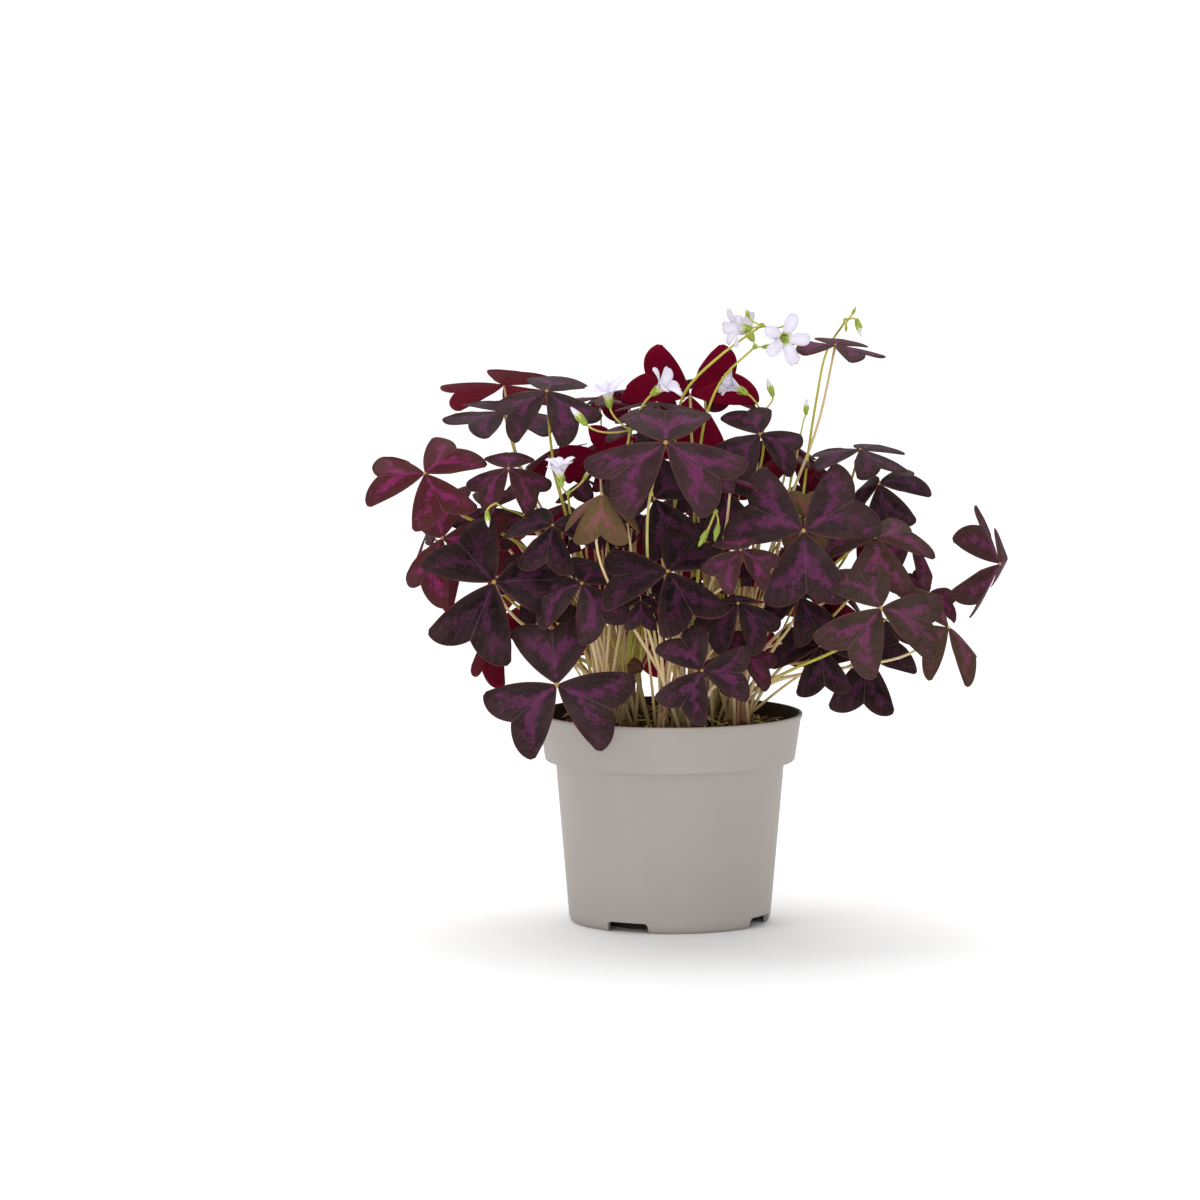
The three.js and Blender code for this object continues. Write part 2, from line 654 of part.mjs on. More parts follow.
const plant = new THREE.Group();
function place(name, solid, finish) {
  const material = new THREE.MeshStandardMaterial({ ...finishes[finish], metalness: 0 });
  const mesh = new THREE.Mesh(geometryOf(solid), material);
  mesh.name = name;
  plant.add(mesh);
}

place("pot", pot, "pot");
place("soil", soil, "soil");
for (const [crown, pieces] of clumps) place(crown.name, joined(pieces), "stalk");
for (const [name, solid] of sprays) place(name, solid, "bloom");
const bunches = Map.groupBy(leaves, ({ node }) => node);
for (const [node, members] of bunches) place(node, joined(members.map(({ solid }) => solid)), "leaf");

export default plant;
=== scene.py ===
# %% [markdown]
# # A purple shamrock in its nursery pot
#
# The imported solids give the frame: a pot, its soil, five clumps of leaf stalks, the leaves and the
# flower stalks. This lesson dresses each of them with a finer piece in the same place. The plant is
# mostly repeats, so one leaflet, one petal and one bud are modelled with care and then copied, each
# copy bent to its own place.

# %% The frame and its units
import math
import random

import bmesh
import bpy
import numpy as np
from mathutils import Matrix, Vector
from mathutils.bvhtree import BVHTree
from mathutils.kdtree import KDTree


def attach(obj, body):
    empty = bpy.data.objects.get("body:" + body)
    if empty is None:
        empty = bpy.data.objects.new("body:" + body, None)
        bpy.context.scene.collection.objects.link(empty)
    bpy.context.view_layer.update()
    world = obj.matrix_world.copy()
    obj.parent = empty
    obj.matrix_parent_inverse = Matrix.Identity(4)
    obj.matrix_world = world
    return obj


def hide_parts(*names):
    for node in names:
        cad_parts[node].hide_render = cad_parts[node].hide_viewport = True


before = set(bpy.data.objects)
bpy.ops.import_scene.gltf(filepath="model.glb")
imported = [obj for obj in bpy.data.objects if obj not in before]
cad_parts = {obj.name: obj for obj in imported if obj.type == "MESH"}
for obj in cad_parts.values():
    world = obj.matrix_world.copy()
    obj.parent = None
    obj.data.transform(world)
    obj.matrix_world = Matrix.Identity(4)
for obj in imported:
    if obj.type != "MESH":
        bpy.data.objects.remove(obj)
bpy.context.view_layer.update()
scene = bpy.context.scene
MM = 0.001
bpy.ops.object.select_all(action="DESELECT")
print("nodes in the frame:", len(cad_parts))


def linked(name, data):
    """A new object of the scene that holds a mesh, a curve, a lamp or a camera."""
    holder = bpy.data.objects.new(name, data)
    scene.collection.objects.link(holder)
    return holder


def only(piece):
    """Makes a piece the one selected and active object."""
    bpy.ops.object.select_all(action="DESELECT")
    piece.select_set(True)
    bpy.context.view_layer.objects.active = piece


def settle(piece, slot, *nodes):
    """Applies a finished piece's place, gives it its body and hides the solids that it stands for; slot is
    not used.
    """
    only(piece)
    bpy.ops.object.transform_apply(location=True, rotation=True, scale=True)
    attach(piece, "root")
    if nodes:
        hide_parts(*nodes)
    print(f"{piece.name}: {len(piece.data.polygons)} faces")
    return piece


def compass(degrees):
    """The level direction at a compass angle, from +X towards +Y."""
    return Vector((math.cos(math.radians(degrees)), math.sin(math.radians(degrees)), 0))


# %% [markdown]
# ## Camera and light
#
# A plant on a white sweep is lit from everywhere: the sweep itself glows, a very wide soft light stands
# overhead, a lamp high on the left gives the leaves their sheen, and one beside the camera reaches the
# stalks under the leaves. The paper goes so far back that its end is out of sight. A long lens, far
# away, keeps the pot's sides nearly parallel.

# %% Camera
CAMERA = {"distance": 3.0, "height": 0.462, "tilt": 6.017, "pan": 0.605, "lens": 200.25, "sensor": 36}
camera = linked("camera", bpy.data.cameras.new("camera"))
camera.location = (0, -CAMERA["distance"], CAMERA["height"])
camera.rotation_euler = (math.radians(90 - CAMERA["tilt"]), 0, math.radians(CAMERA["pan"]))
camera.data.lens = CAMERA["lens"]
camera.data.sensor_width = CAMERA["sensor"]
camera.data.clip_end = 100
scene.camera = camera
print("camera at", tuple(camera.location))

# %% Lamps, world and floor
LAMPS = {
    "key_lamp": {"place": (-1.3, -1.3, 1.7), "size": 1.0, "power": 7, "aim": (0, 0, 0.15)},
    "front_lamp": {"place": (-0.05, -2.75, 0.52), "size": 0.8, "power": 13, "aim": (0, 0, 0.14)},
}
SKY = {"power": 1.9, "width": 60, "tilt": (-35, -5, 0), "glow": 0.68}
PAPER = {"radius": 45, "white": 0.96}

for name, lamp in LAMPS.items():
    light = bpy.data.lights.new(name, "AREA")
    light.shape = "DISK"
    light.size = lamp["size"]
    light.energy = lamp["power"]
    holder = linked(name, light)
    holder.location = lamp["place"]
    way = Vector(lamp["aim"]) - Vector(lamp["place"])
    holder.rotation_euler = way.to_track_quat("-Z", "Y").to_euler()
sky = bpy.data.lights.new("soft_sky", "SUN")
sky.energy = SKY["power"]
sky.angle = math.radians(SKY["width"])
linked("soft_sky", sky).rotation_euler = [math.radians(turn) for turn in SKY["tilt"]]
scene.view_settings.view_transform = "Standard"

world = bpy.data.worlds.new("white_sweep")
world.use_nodes = True
world.node_tree.nodes["Background"].inputs["Color"].default_value = (1, 1, 1, 1)
world.node_tree.nodes["Background"].inputs["Strength"].default_value = SKY["glow"]
scene.world = world

bpy.ops.mesh.primitive_circle_add(vertices=96, radius=PAPER["radius"], fill_type="NGON")
floor = bpy.context.object
floor.name = "floor"
paper = bpy.data.materials.new("white_paper")
paper.use_nodes = True
paper_shader = paper.node_tree.nodes["Principled BSDF"].inputs
paper_shader["Base Color"].default_value = (PAPER["white"], PAPER["white"], PAPER["white"], 1)
paper_shader["Roughness"].default_value = 1.0
paper_shader["Specular IOR Level"].default_value = 0.0
floor.data.materials.append(paper)
print("lights:", len(bpy.data.lights))


# %% [markdown]
# ## Building materials
#
# Leaves, stalks, plastic and soil all need small changes of colour over their surface. A recipe writes
# the shader nodes, and a value of a recipe can be reckoned with like any number: each sign adds a node.
# The effects that several materials share are node groups.

# %% Helpers for shader nodes
class Value:
    """A number or a colour inside a shader."""

    def __init__(self, recipe, socket):
        self.recipe, self.socket = recipe, socket

    def __add__(self, other):
        return self.recipe.math("ADD", self, other)

    def __sub__(self, other):
        return self.recipe.math("SUBTRACT", self, other)

    def __rsub__(self, other):
        return self.recipe.math("SUBTRACT", other, self)

    def __mul__(self, other):
        return self.recipe.math("MULTIPLY", self, other)

    def __truediv__(self, other):
        return self.recipe.math("DIVIDE", self, other)

    def __abs__(self):
        return self.recipe.math("ABSOLUTE", self)


def rgb(*parts):
    """A colour given as on a screen, 0 to 255, as the linear colour that shaders use."""
    shares = [part / 255 for part in parts]
    linear = [share / 12.92 if share <= 0.04045 else ((share + 0.055) / 1.055) ** 2.4 for share in shares]
    return (*linear, 1)


class Recipe:
    """Adds the nodes of one material or node group, a call for each."""

    def __init__(self, tree):
        self.tree = tree

    def node(self, kind, inputs=None, **settings):
        """A new node with its settings and inputs; gives its outputs."""
        made = self.tree.nodes.new(kind)
        for name, value in settings.items():
            setattr(made, name, value)
        for socket, value in (inputs or {}).items():
            if isinstance(value, Value):
                self.tree.links.new(value.socket, made.inputs[socket])
            else:
                made.inputs[socket].default_value = value
        return [Value(self, output) for output in made.outputs]

    def math(self, operation, *values, clamp=False):
        return self.node("ShaderNodeMath", dict(enumerate(values)), operation=operation, use_clamp=clamp)[0]

    def ramp(self, value, low, high):
        """0 below low, 1 above high, and smooth between them."""
        inputs = {"Value": value, "From Min": low, "From Max": high}
        return self.node("ShaderNodeMapRange", inputs, interpolation_type="SMOOTHSTEP")[0]

    def blend(self, share, *colours):
        """From the first colour to the second; a plain colour is given as on a screen."""
        first, second = [colour if isinstance(colour, Value) else rgb(*colour) for colour in colours]
        return self.node("ShaderNodeMix", {0: share, 6: first, 7: second}, data_type="RGBA")[2]

    def tint(self, base, mask, most, colour):
        """The base, turned towards a colour where the mask is 1."""
        return self.blend(mask * most, base, colour)

    def noise(self, vector, scale, detail=3.0, roughness=0.55, distortion=0.0):
        inputs = {"Vector": vector, "Scale": scale, "Detail": detail, "Roughness": roughness}
        return self.node("ShaderNodeTexNoise", {**inputs, "Distortion": distortion})[0]

    def mottled(self, scale, contrast):
        return self.node("ShaderNodeGroup", {"Scale": scale, "Contrast": contrast}, node_tree=MOTTLE)[0]

    def tone(self):
        """The three parts of the tone that a piece carries at each of its points."""
        colour = self.node("ShaderNodeAttribute", attribute_name="tone")[0]
        return self.node("ShaderNodeSeparateColor", {0: colour})

    def coordinates(self, kind="Object"):
        return Value(self, self.tree.nodes.new("ShaderNodeTexCoord").outputs[kind])

    def split(self, vector):
        return self.node("ShaderNodeSeparateXYZ", {0: vector})

    def stretched(self, vector, scale):
        return self.node("ShaderNodeMapping", {"Vector": vector, "Scale": scale})[0]

    def surface(self, colour, roughness, specular, relief, strength, depth, glow=0.0, reach=None):
        """The inputs of a Principled shader, with a bump of a strength and depth, and a soft glow."""
        bump = {"Height": relief, "Strength": strength, "Distance": depth}
        inputs = {"Base Color": colour, "Roughness": roughness, "Specular IOR Level": specular}
        inputs["Normal"] = self.node("ShaderNodeBump", bump)[0]
        if glow:
            inputs.update({"Subsurface Weight": glow, "Subsurface Radius": reach})
        return inputs


def material(name, finish):
    """A material of one Principled shader; finish(recipe) returns that shader's inputs."""
    made = bpy.data.materials.new(name)
    made.use_nodes = True
    made.node_tree.nodes.clear()
    recipe = Recipe(made.node_tree)
    shader = recipe.node("ShaderNodeBsdfPrincipled", finish(recipe))[0]
    recipe.node("ShaderNodeOutputMaterial", {"Surface": shader})
    return made


def group(name, inputs, outputs, build):
    """A node group of numbers; build(recipe, *inputs) returns its outputs in order."""
    tree = bpy.data.node_groups.new(name, "ShaderNodeTree")
    for side, sockets in (("INPUT", inputs), ("OUTPUT", outputs)):
        for socket in sockets:
            tree.interface.new_socket(name=socket, in_out=side, socket_type="NodeSocketFloat")
    recipe = Recipe(tree)
    given = recipe.node("NodeGroupInput")[: len(inputs)]
    recipe.node("NodeGroupOutput", dict(enumerate(build(recipe, *given))))
    return tree


# %% The shared effects
def mottle(recipe, scale, contrast):
    """Two sizes of blotches, for surfaces that are never one even colour."""
    where = recipe.coordinates()
    both = recipe.noise(where, scale, 2) * 0.65 + recipe.noise(where, scale * 6.0, 4) * 0.35
    return [recipe.math("MULTIPLY_ADD", both - 0.5, contrast, 0.5, clamp=True)]


def leaflet_lines(recipe):
    """The rib, the veins that fan out from the hub, and the margin of a leaflet, from its UV map."""
    surface = recipe.coordinates("UV")
    x, out, _ = recipe.split(surface)
    across = abs(x * 2.0 - 1.0)
    shifted = (recipe.noise(surface, 6.0, 2) - 0.5) * 0.16 + across
    veins = 1.0 - recipe.ramp(recipe.math("PINGPONG", shifted, 0.09), 0.0, 0.022)
    rib = recipe.math("SUBTRACT", 1.0, across / (out * -0.035 + 0.06), clamp=True)
    gap = recipe.math("MINIMUM", 1.0 - out, (1.0 - across) * out * 0.62)
    return [rib, veins, 1.0 - recipe.ramp(gap, 0.003, 0.016), across, out]


MOTTLE = group("mottle", ["Scale", "Contrast"], ["Share"], mottle)
LEAFLET_LINES = group("leaflet_lines", [], ["Rib", "Veins", "Margin", "Across", "Out"], leaflet_lines)
print("node groups:", [tree.name for tree in bpy.data.node_groups])

# %% [markdown]
# ## Colours of the leaves
#
# The top of a leaflet is a brownish purple, nearly black, with a magenta chevron that points at the hub
# and ends in streaks along the veins. The margin is a thin pale line. The underside has the colour of
# red wine, and on red leaves it holds painted light shining through the blade. Each leaf carries a tone
# in an attribute: how red it is, how olive, and how strong its chevron is, so that one material serves the
# whole plant.


# %% Leaf materials
def chevron_mask(recipe, across, out, blotches):
    """Where a leaflet's chevron is: two arms from the rib outwards, with torn and patchy edges."""
    feathers = recipe.noise(recipe.stretched(recipe.coordinates("UV"), (11, 4.5, 1)), 1.0, 6, 0.75, 0.6)
    cloud = recipe.noise(recipe.coordinates(), 42.0, 2)
    arm = recipe.math("MAXIMUM", out - 0.3, 0.0) * 1.05
    band = (cloud - 0.5) * 0.6 + 0.19 - abs(across - arm)
    reach = recipe.math("MINIMUM", out - 0.16, 0.78 - out)
    inside = (feathers + blotches - 1.0) * 0.9 + recipe.math("MINIMUM", band, reach)
    return recipe.ramp(inside, -0.13, 0.14) * (recipe.ramp(blotches, 0.35, 0.65) * 0.45 + 0.55)


def leaf_top(recipe):
    rib, veins, margin, across, out = recipe.node("ShaderNodeGroup", node_tree=LEAFLET_LINES)
    redness, greenness, strength = recipe.tone()
    blotches = recipe.noise(recipe.coordinates(), 260.0, 5, 0.7)
    ground = recipe.mottled(70.0, 2.0)
    lifted = recipe.math("ADD", ground, strength * 0.7 - 0.5, clamp=True)
    dark = recipe.blend(lifted, (20, 12, 13), (66, 50, 52))
    red = recipe.blend(ground, (66, 22, 28), (86, 38, 42))
    olive = recipe.blend(ground, (88, 73, 38), (120, 100, 60))
    base = recipe.blend(greenness, recipe.blend(redness, dark, red), olive)
    patch = recipe.blend(greenness, recipe.blend(redness, (108, 48, 90), (130, 42, 92)), (142, 86, 84))
    skin = recipe.tint(base, chevron_mask(recipe, across, out, blotches) * strength, 0.9, patch)
    skin = recipe.tint(skin, recipe.ramp(recipe.math("MAXIMUM", across, out), 0.55, 1.0), 0.25, (78, 54, 52))
    skin = recipe.tint(skin, rib, 0.24, (128, 92, 108))
    skin = recipe.tint(skin, veins, 0.06, (140, 90, 120))
    skin = recipe.tint(skin, margin, 0.42, (128, 78, 78))
    specks = recipe.ramp(recipe.noise(recipe.coordinates(), 1500.0, 1), 0.76, 0.8)
    skin = recipe.tint(skin, specks, 0.35, (170, 160, 165))
    return recipe.surface(skin, ground * 0.1 + 0.55, 0.03, ground * 0.8 - veins * 0.2, 0.4, 0.0006)


def leaf_underside(recipe):
    rib, veins, margin, _, _ = recipe.node("ShaderNodeGroup", node_tree=LEAFLET_LINES)
    redness, greenness, _ = recipe.tone()
    ground = recipe.mottled(60.0, 1.8)
    wine = recipe.blend(ground, (90, 2, 30), (126, 5, 44))
    # Red leaves take this wine on their underside: painted light shining through the blade.
    backlit_wine = recipe.blend(ground, (94, 2, 27), (126, 6, 41))
    olive = recipe.blend(ground, (96, 80, 34), (120, 104, 50))
    skin = recipe.blend(greenness, recipe.blend(redness, wine, backlit_wine), olive)
    skin = recipe.tint(skin, veins, 0.3, (70, 6, 26))
    skin = recipe.tint(skin, rib, 0.5, (150, 50, 60))
    skin = recipe.tint(skin, margin, 0.4, (120, 50, 60))
    return recipe.surface(skin, 0.6, 0.05, veins + rib, 0.4, 0.0004)


def leaf_hub(recipe):
    ground = recipe.mottled(300.0, 2.0)
    return recipe.surface(recipe.blend(ground, (172, 110, 52), (170, 160, 80)), 0.5, 0.3, ground, 0.4, 0.0002)


LEAF_TOP = material("leaf_top", leaf_top)
LEAF_UNDERSIDE = material("leaf_underside", leaf_underside)
LEAF_HUB = material("leaf_hub", leaf_hub)
print("leaf materials:", len(bpy.data.materials) - 1)


# %% [markdown]
# ## Shapes and their copies
#
# What repeats is modelled once: a grid or a ball whose points are moved by a rule. A heap then gathers
# the copies of one piece in a single mesh, each copy with its own place, material and tone.

# %% Shapes from grids and balls
def moulded(piece, rule):
    """Moves every point of a piece by a rule, and gives the piece back."""
    for vertex in piece.data.vertices:
        vertex.co = rule(*vertex.co)
    return piece


def applied(piece, kind, **settings):
    """Adds a modifier to a piece and applies it."""
    modifier = piece.modifiers.new(kind, kind)
    for name, value in settings.items():
        setattr(modifier, name, value)
    only(piece)
    bpy.ops.object.modifier_apply(modifier=modifier.name)
    return piece


def taken(piece):
    """The corners and faces of a finished shape, which is then deleted."""
    places = np.array([vertex.co[:] for vertex in piece.data.vertices])
    faces = [tuple(face.vertices) for face in piece.data.polygons]
    bpy.data.objects.remove(piece)
    return places, faces


def grid_shape(columns, rows, thickness, rule):
    """A thin shape; rule(across, out) gives each place, across from -1 to 1 and out from 0 to 1."""
    bpy.ops.mesh.primitive_grid_add(x_subdivisions=columns, y_subdivisions=rows, size=2)
    sheet = moulded(bpy.context.object, lambda x, y, z: rule(x, 0.5 + 0.5 * y))
    return taken(applied(sheet, "SOLIDIFY", thickness=thickness))


def ball_shape(segments, rings, rule):
    """A round shape; rule(x, y, z) moves each point of a ball of radius 1."""
    bpy.ops.mesh.primitive_uv_sphere_add(segments=segments, ring_count=rings, radius=1)
    return taken(moulded(bpy.context.object, rule))


def towards(direction, turn=0.0):
    """The turn that takes +Z to a direction, after a turn about +Z itself."""
    return Vector(direction).to_track_quat("Z", "Y").to_matrix().to_4x4() @ Matrix.Rotation(turn, 4, "Z")


def toned(piece, tones):
    """Gives every point of a piece a tone of three parts."""
    colours = np.column_stack([np.asarray(tones, dtype=np.float32), np.ones(len(tones), dtype=np.float32)])
    piece.data.attributes.new("tone", "FLOAT_COLOR", "POINT").data.foreach_set("color", colours.ravel())


class Heap:
    """Gathers copies of shapes into one mesh, with material slots, a tone and UV places for each."""

    def __init__(self):
        self.places, self.faces, self.slots, self.tones, self.uvs = [], [], [], [], []
        self.count = 0

    def add(self, places, faces, slots=0, tone=(0, 0, 0), uv=None):
        self.places.append(places)
        self.faces += [tuple(self.count + corner for corner in face) for face in faces]
        self.slots += slots if isinstance(slots, list) else [slots] * len(faces)
        self.tones += [tone] * len(places)
        self.uvs.append((self.count, uv))
        self.count += len(places)

    def copy(self, shape, matrix, slot=0, tone=(0, 0, 0), uv=None):
        """Adds a shape moved by a matrix, in millimetres."""
        table = np.array(matrix)
        self.add(shape[0] @ table[:3, :3].T + table[:3, 3], shape[1], slot, tone, uv)

    def piece(self, name, materials, smooth=True):
        mesh = bpy.data.meshes.new(name)
        mesh.from_pydata((np.vstack(self.places) * MM).tolist(), [], self.faces)
        for slot in materials:
            mesh.materials.append(slot)
        mesh.polygons.foreach_set("material_index", self.slots)
        mesh.polygons.foreach_set("use_smooth", [smooth] * len(self.faces))
        given = [(start, uv) for start, uv in self.uvs if uv is not None]
        if given:
            surface = np.zeros((self.count, 2))
            for start, uv in given:
                surface[start : start + len(uv)] = uv
            corner = np.empty(len(mesh.loops), dtype=np.int32)
            mesh.loops.foreach_get("vertex_index", corner)
            mesh.uv_layers.new(name="surface").data.foreach_set("uv", surface[corner].ravel())
        made = linked(name, mesh)
        toned(made, self.tones)
        return made


# %% [markdown]
# ## One leaflet
#
# A leaflet is a soft triangle with a shallow notch, folded along its rib. It is modelled once, flat, in
# coordinates of its own: x runs across it from -1 to 1 and y runs out from the hub to 1. A grid is
# enough for that, because the curved outline comes when each copy is bent to its leaf. Solidify gives
# the blade its two faces, and puts the second material on the lower one.

# %% The flat leaflet
HUB_SHARE = 0.03


def flat_leaflet(columns, rows):
    bpy.ops.mesh.primitive_grid_add(x_subdivisions=columns, y_subdivisions=rows, size=2)
    sheet = moulded(bpy.context.object, lambda x, y, z: (x, HUB_SHARE + (1 - HUB_SHARE) * (0.5 + 0.5 * y), z))
    for slot in (LEAF_TOP, LEAF_UNDERSIDE):
        sheet.data.materials.append(slot)
    applied(sheet, "SOLIDIFY", thickness=1, offset=-1, material_offset=1)
    slots = [face.material_index for face in sheet.data.polygons]
    return *taken(sheet), slots


FINE_LEAFLET = flat_leaflet(24, 14)
SMALL_LEAFLET = flat_leaflet(10, 6)
HUB = ball_shape(10, 6, lambda x, y, z: (0.03 * x, 0.03 * y, 0.0225 * z))
print("a flat leaflet has", len(FINE_LEAFLET[1]), "faces")

# %% [markdown]
# ## Every leaf in its place
#
# A leaf is three leaflets round a hub. Each row below says where the hub is, which way the face of the
# leaf turns and leans, how its first leaflet is turned, how long the leaflets are, and how far they
# droop and fold. They are the leaves of the solid model, so each finer leaf lies in its solid. The far
# side has pairs of leaves in rows, set by a rule.

# %% The leaves
BLADE = 0.45
TONE_SPREAD = 0.12
OUTLINE = {"notch": 0.76, "lobe": 0.25, "lobe_at": 0.8, "heel": 0.13, "base": 52, "tip": 38, "bend": 0.12}
PLAIN = (0.0, 0.0, 0.8)
SOFT = (0.0, 0.0, 0.66)
DARK = (0.0, 0.0, 0.45)
RED = (1.0, 0.0, 1.0)
WARM = (0.4, 0.0, 0.95)
VIVID = (0.16, 0.0, 1.0)
OLIVE = (0.0, 0.82, 1.0)
DUSTY = (0.12, 0.05, 1.0)
GREYED = (0.0, 0.18, 1.0)
BROWN = (0.35, 0.14, 0.7)

LEAVES = [
    # left edge
    ["leaf_01", -109, -45, 207, -98, 42, 178, 29, 3, 12, RED],
    ["leaf_02", -102, -22, 176, -128, 64, 6, 31, 8, 18, RED],
    ["leaf_03", -111, 20, 174, 180, 65, 270, 25, 0, 8, WARM],
    ["leaf_04_15", -78, -60, 160, -92, 62, -112, 37, 8, 10, DARK],
    ["leaf_05", -72, -40, 209, -90, 45, -30, 22, 20, 20, WARM],
    ["leaf_06", -82, 4, 187, -100, 45, -30, 21, 15, 15, WARM],
    # upper left
    ["leaf_07", -75, 2, 231, -75, 14, 208, 28, 0, 6, PLAIN],
    ["leaf_08", -76, 44, 240, 90, 26, -10, 30, 0, 8, RED],
    ["leaf_09", -55, -34, 243, -95, 38, -38, 27, 18, 15, PLAIN],
    ["leaf_10", -32, 8, 212, 90, 60, -10, 20, 8, 10, WARM],
    # front, left of the middle
    ["leaf_11", -50, -74, 116, -95, 72, -22, 35, 8, 10, SOFT],
    ["leaf_12", -58, -32, 162, -90, 50, -80, 25, 20, 15, DARK],
    ["leaf_13", -52, -56, 185, -90, 40, 20, 24, 15, 15, DARK],
    ["leaf_04_15", -39, -64, 160, -90, 50, -55, 27, 22, 15, PLAIN],
    ["leaf_16", -30, -80, 201, -90, 30, -92, 24, 38, 20, OLIVE],
    # front, middle
    ["leaf_17", -2, -72, 223, -90, 42, -30, 38, 12, 12, VIVID],
    ["leaf_18_25", -7, -36, 195, -90, 55, -65, 28, 12, 12, DARK],
    ["leaf_19", -1, -70, 166, -90, 45, 178, 32, 5, 10, DARK],
    ["leaf_20", 1, -38, 150, -90, 60, -100, 20, 15, 15, DARK],
    ["leaf_21", 14, -88, 124, -90, 70, 0, 24, 8, 10, SOFT],
    ["leaf_22", 31, -50, 127, -80, 50, -20, 20, 15, 12, WARM],
    ["leaf_23", 30, -62, 151, -90, 40, -30, 24, 30, 15, DARK],
    ["leaf_24", 31, -86, 177, -90, 45, -20, 20, 23, 14, WARM],
    ["leaf_18_25", 24, -32, 199, -90, 50, -80, 24, 18, 15, DARK],
    ["leaf_26_31_34_37", 27, -48, 205, -90, 5, 0, 14, 8, 10, WARM],
    # top
    ["leaf_27", -6, -22, 237, -90, 10, 0, 22, 8, 10, PLAIN],
    ["leaf_28", 9, 6, 238, 90, 72, 150, 31, 0, 10, RED],
    ["leaf_29", 40, -24, 223, -80, 50, -20, 23, 12, 15, PLAIN],
    ["leaf_30", 74, -10, 262, -50, 10, 160, 23, -4, 8, WARM],
    # right
    ["leaf_26_31_34_37", 59, -60, 183, -90, 75, 33, 36, 5, 12, PLAIN],
    ["leaf_32", 86, 14, 213, -90, 15, 180, 24, 5, 10, DARK],
    ["leaf_33", 94, -4, 199, -120, 46, -66, 24, 24, 20, DARK],
    ["leaf_26_31_34_37", 91, -47, 179, -85, 38, -88, 30, 15, 12, DUSTY],
    ["leaf_35", 109, 8, 175, -20, 40, -70, 28, 20, 25, WARM],
    ["leaf_36", 149, 4, 162, -28, 92, -120, 28, 10, 28, BROWN],
    ["leaf_26_31_34_37", 93, -72, 150, -82, 55, -12, 32, 8, 12, GREYED],
    ["leaf_38", 124, -42, 138, -35, 56, -164, 28, 5, 25, BROWN],
    ["leaf_39", 88, -18, 123, -72, 60, -97, 29, 12, 12, DARK],
    ["leaf_40", 67, -35, 129, -80, 50, -85, 24, 20, 15, DARK],
    ["leaf_41", 58, -36, 151, -90, 50, -60, 22, 20, 15, DARK],
]
BACK_ROWS = [
    {"angles": [29, 83, 138], "height": 133, "reach": 92, "lean": 66, "size": 31, "apart": 12},
    {"angles": [41, 96, 151], "height": 168, "reach": 98, "lean": 50, "size": 31, "apart": 12},
    {"angles": [56, 124], "height": 210, "reach": 74, "lean": 34, "size": 29, "apart": 15},
    {"angles": [92], "height": 242, "reach": 42, "lean": 18, "size": 27, "apart": 25},
]
PAIR = {"inward": 6, "step": 2, "droop": 12, "fold": 13}


def leaf_of(row):
    node, x, y, z, facing, lean, turn, size, droop, fold, tone = row
    normal = compass(facing) * math.sin(math.radians(lean))
    normal.z = math.cos(math.radians(lean))
    level = Vector((-math.sin(math.radians(facing)), math.cos(math.radians(facing)), 0))
    return {
        "node": node, "hub": Vector((x, y, z)), "normal": normal, "level": level,
        "rise": normal.cross(level), "turn": turn, "size": size, "droop": droop, "fold": fold, "tone": tone,
    }


def back_leaves():
    rows = []
    for ring in BACK_ROWS:
        for angle in ring["angles"]:
            node = f"leaf_back_{len(rows) // 2 + 1}"
            for side, turn, tone in ((-1, 8, PLAIN), (1, 172, DARK)):
                place = compass(angle + side * ring["apart"]) * ring["reach"]
                facing = angle + side * (ring["apart"] - PAIR["inward"])
                stance = [ring["height"] - side * PAIR["step"], facing, ring["lean"], turn, ring["size"]]
                rows.append([node, place.x, place.y, *stance, PAIR["droop"], PAIR["fold"], tone])
    return rows


leaves = [leaf_of(row) for row in LEAVES + back_leaves()]
print("leaves:", len(leaves))


# %% Bending a flat leaflet to its leaf
def edge_share(across):
    """How far the outer edge lies from the hub, as a share of the leaflet's length."""
    side = np.abs(across)
    inner = OUTLINE["notch"] + OUTLINE["lobe"] * np.sin(np.pi / 2 * np.minimum(side / OUTLINE["lobe_at"], 1))
    past = np.clip((side - OUTLINE["lobe_at"]) / (1 - OUTLINE["lobe_at"]), 0, 1)
    return inner - OUTLINE["heel"] * past**2 - 0.1 * past**6


def bent(leaf, number, across, out, phase):
    """The places of a leaflet's points, in millimetres."""
    turn, droop, fold = np.radians([leaf["turn"] + 120 * number, leaf["droop"], leaf["fold"]]).tolist()
    away = leaf["level"] * math.cos(turn) + leaf["rise"] * math.sin(turn)
    side = leaf["normal"].cross(away)
    rib = away * math.cos(droop) - leaf["normal"] * math.sin(droop)
    above = leaf["normal"] * math.cos(droop) + away * math.sin(droop)
    spread = np.radians(across * (OUTLINE["base"] + (OUTLINE["tip"] - OUTLINE["base"]) * out))
    reach = out * edge_share(across) * leaf["size"]
    along, sideways = reach * np.cos(spread), reach * np.sin(spread)
    crease = np.sqrt(sideways**2 + 0.3) - math.sqrt(0.3)
    wave = 0.018 * leaf["size"] * out**2 * np.sin(5.5 * across + phase) * np.abs(across)
    drop = crease * math.sin(fold) + OUTLINE["bend"] * along**2 / leaf["size"] - wave
    over = np.outer(along, rib) + np.outer(sideways * math.cos(fold), side) - np.outer(drop, above)
    return np.array(leaf["hub"]) + over


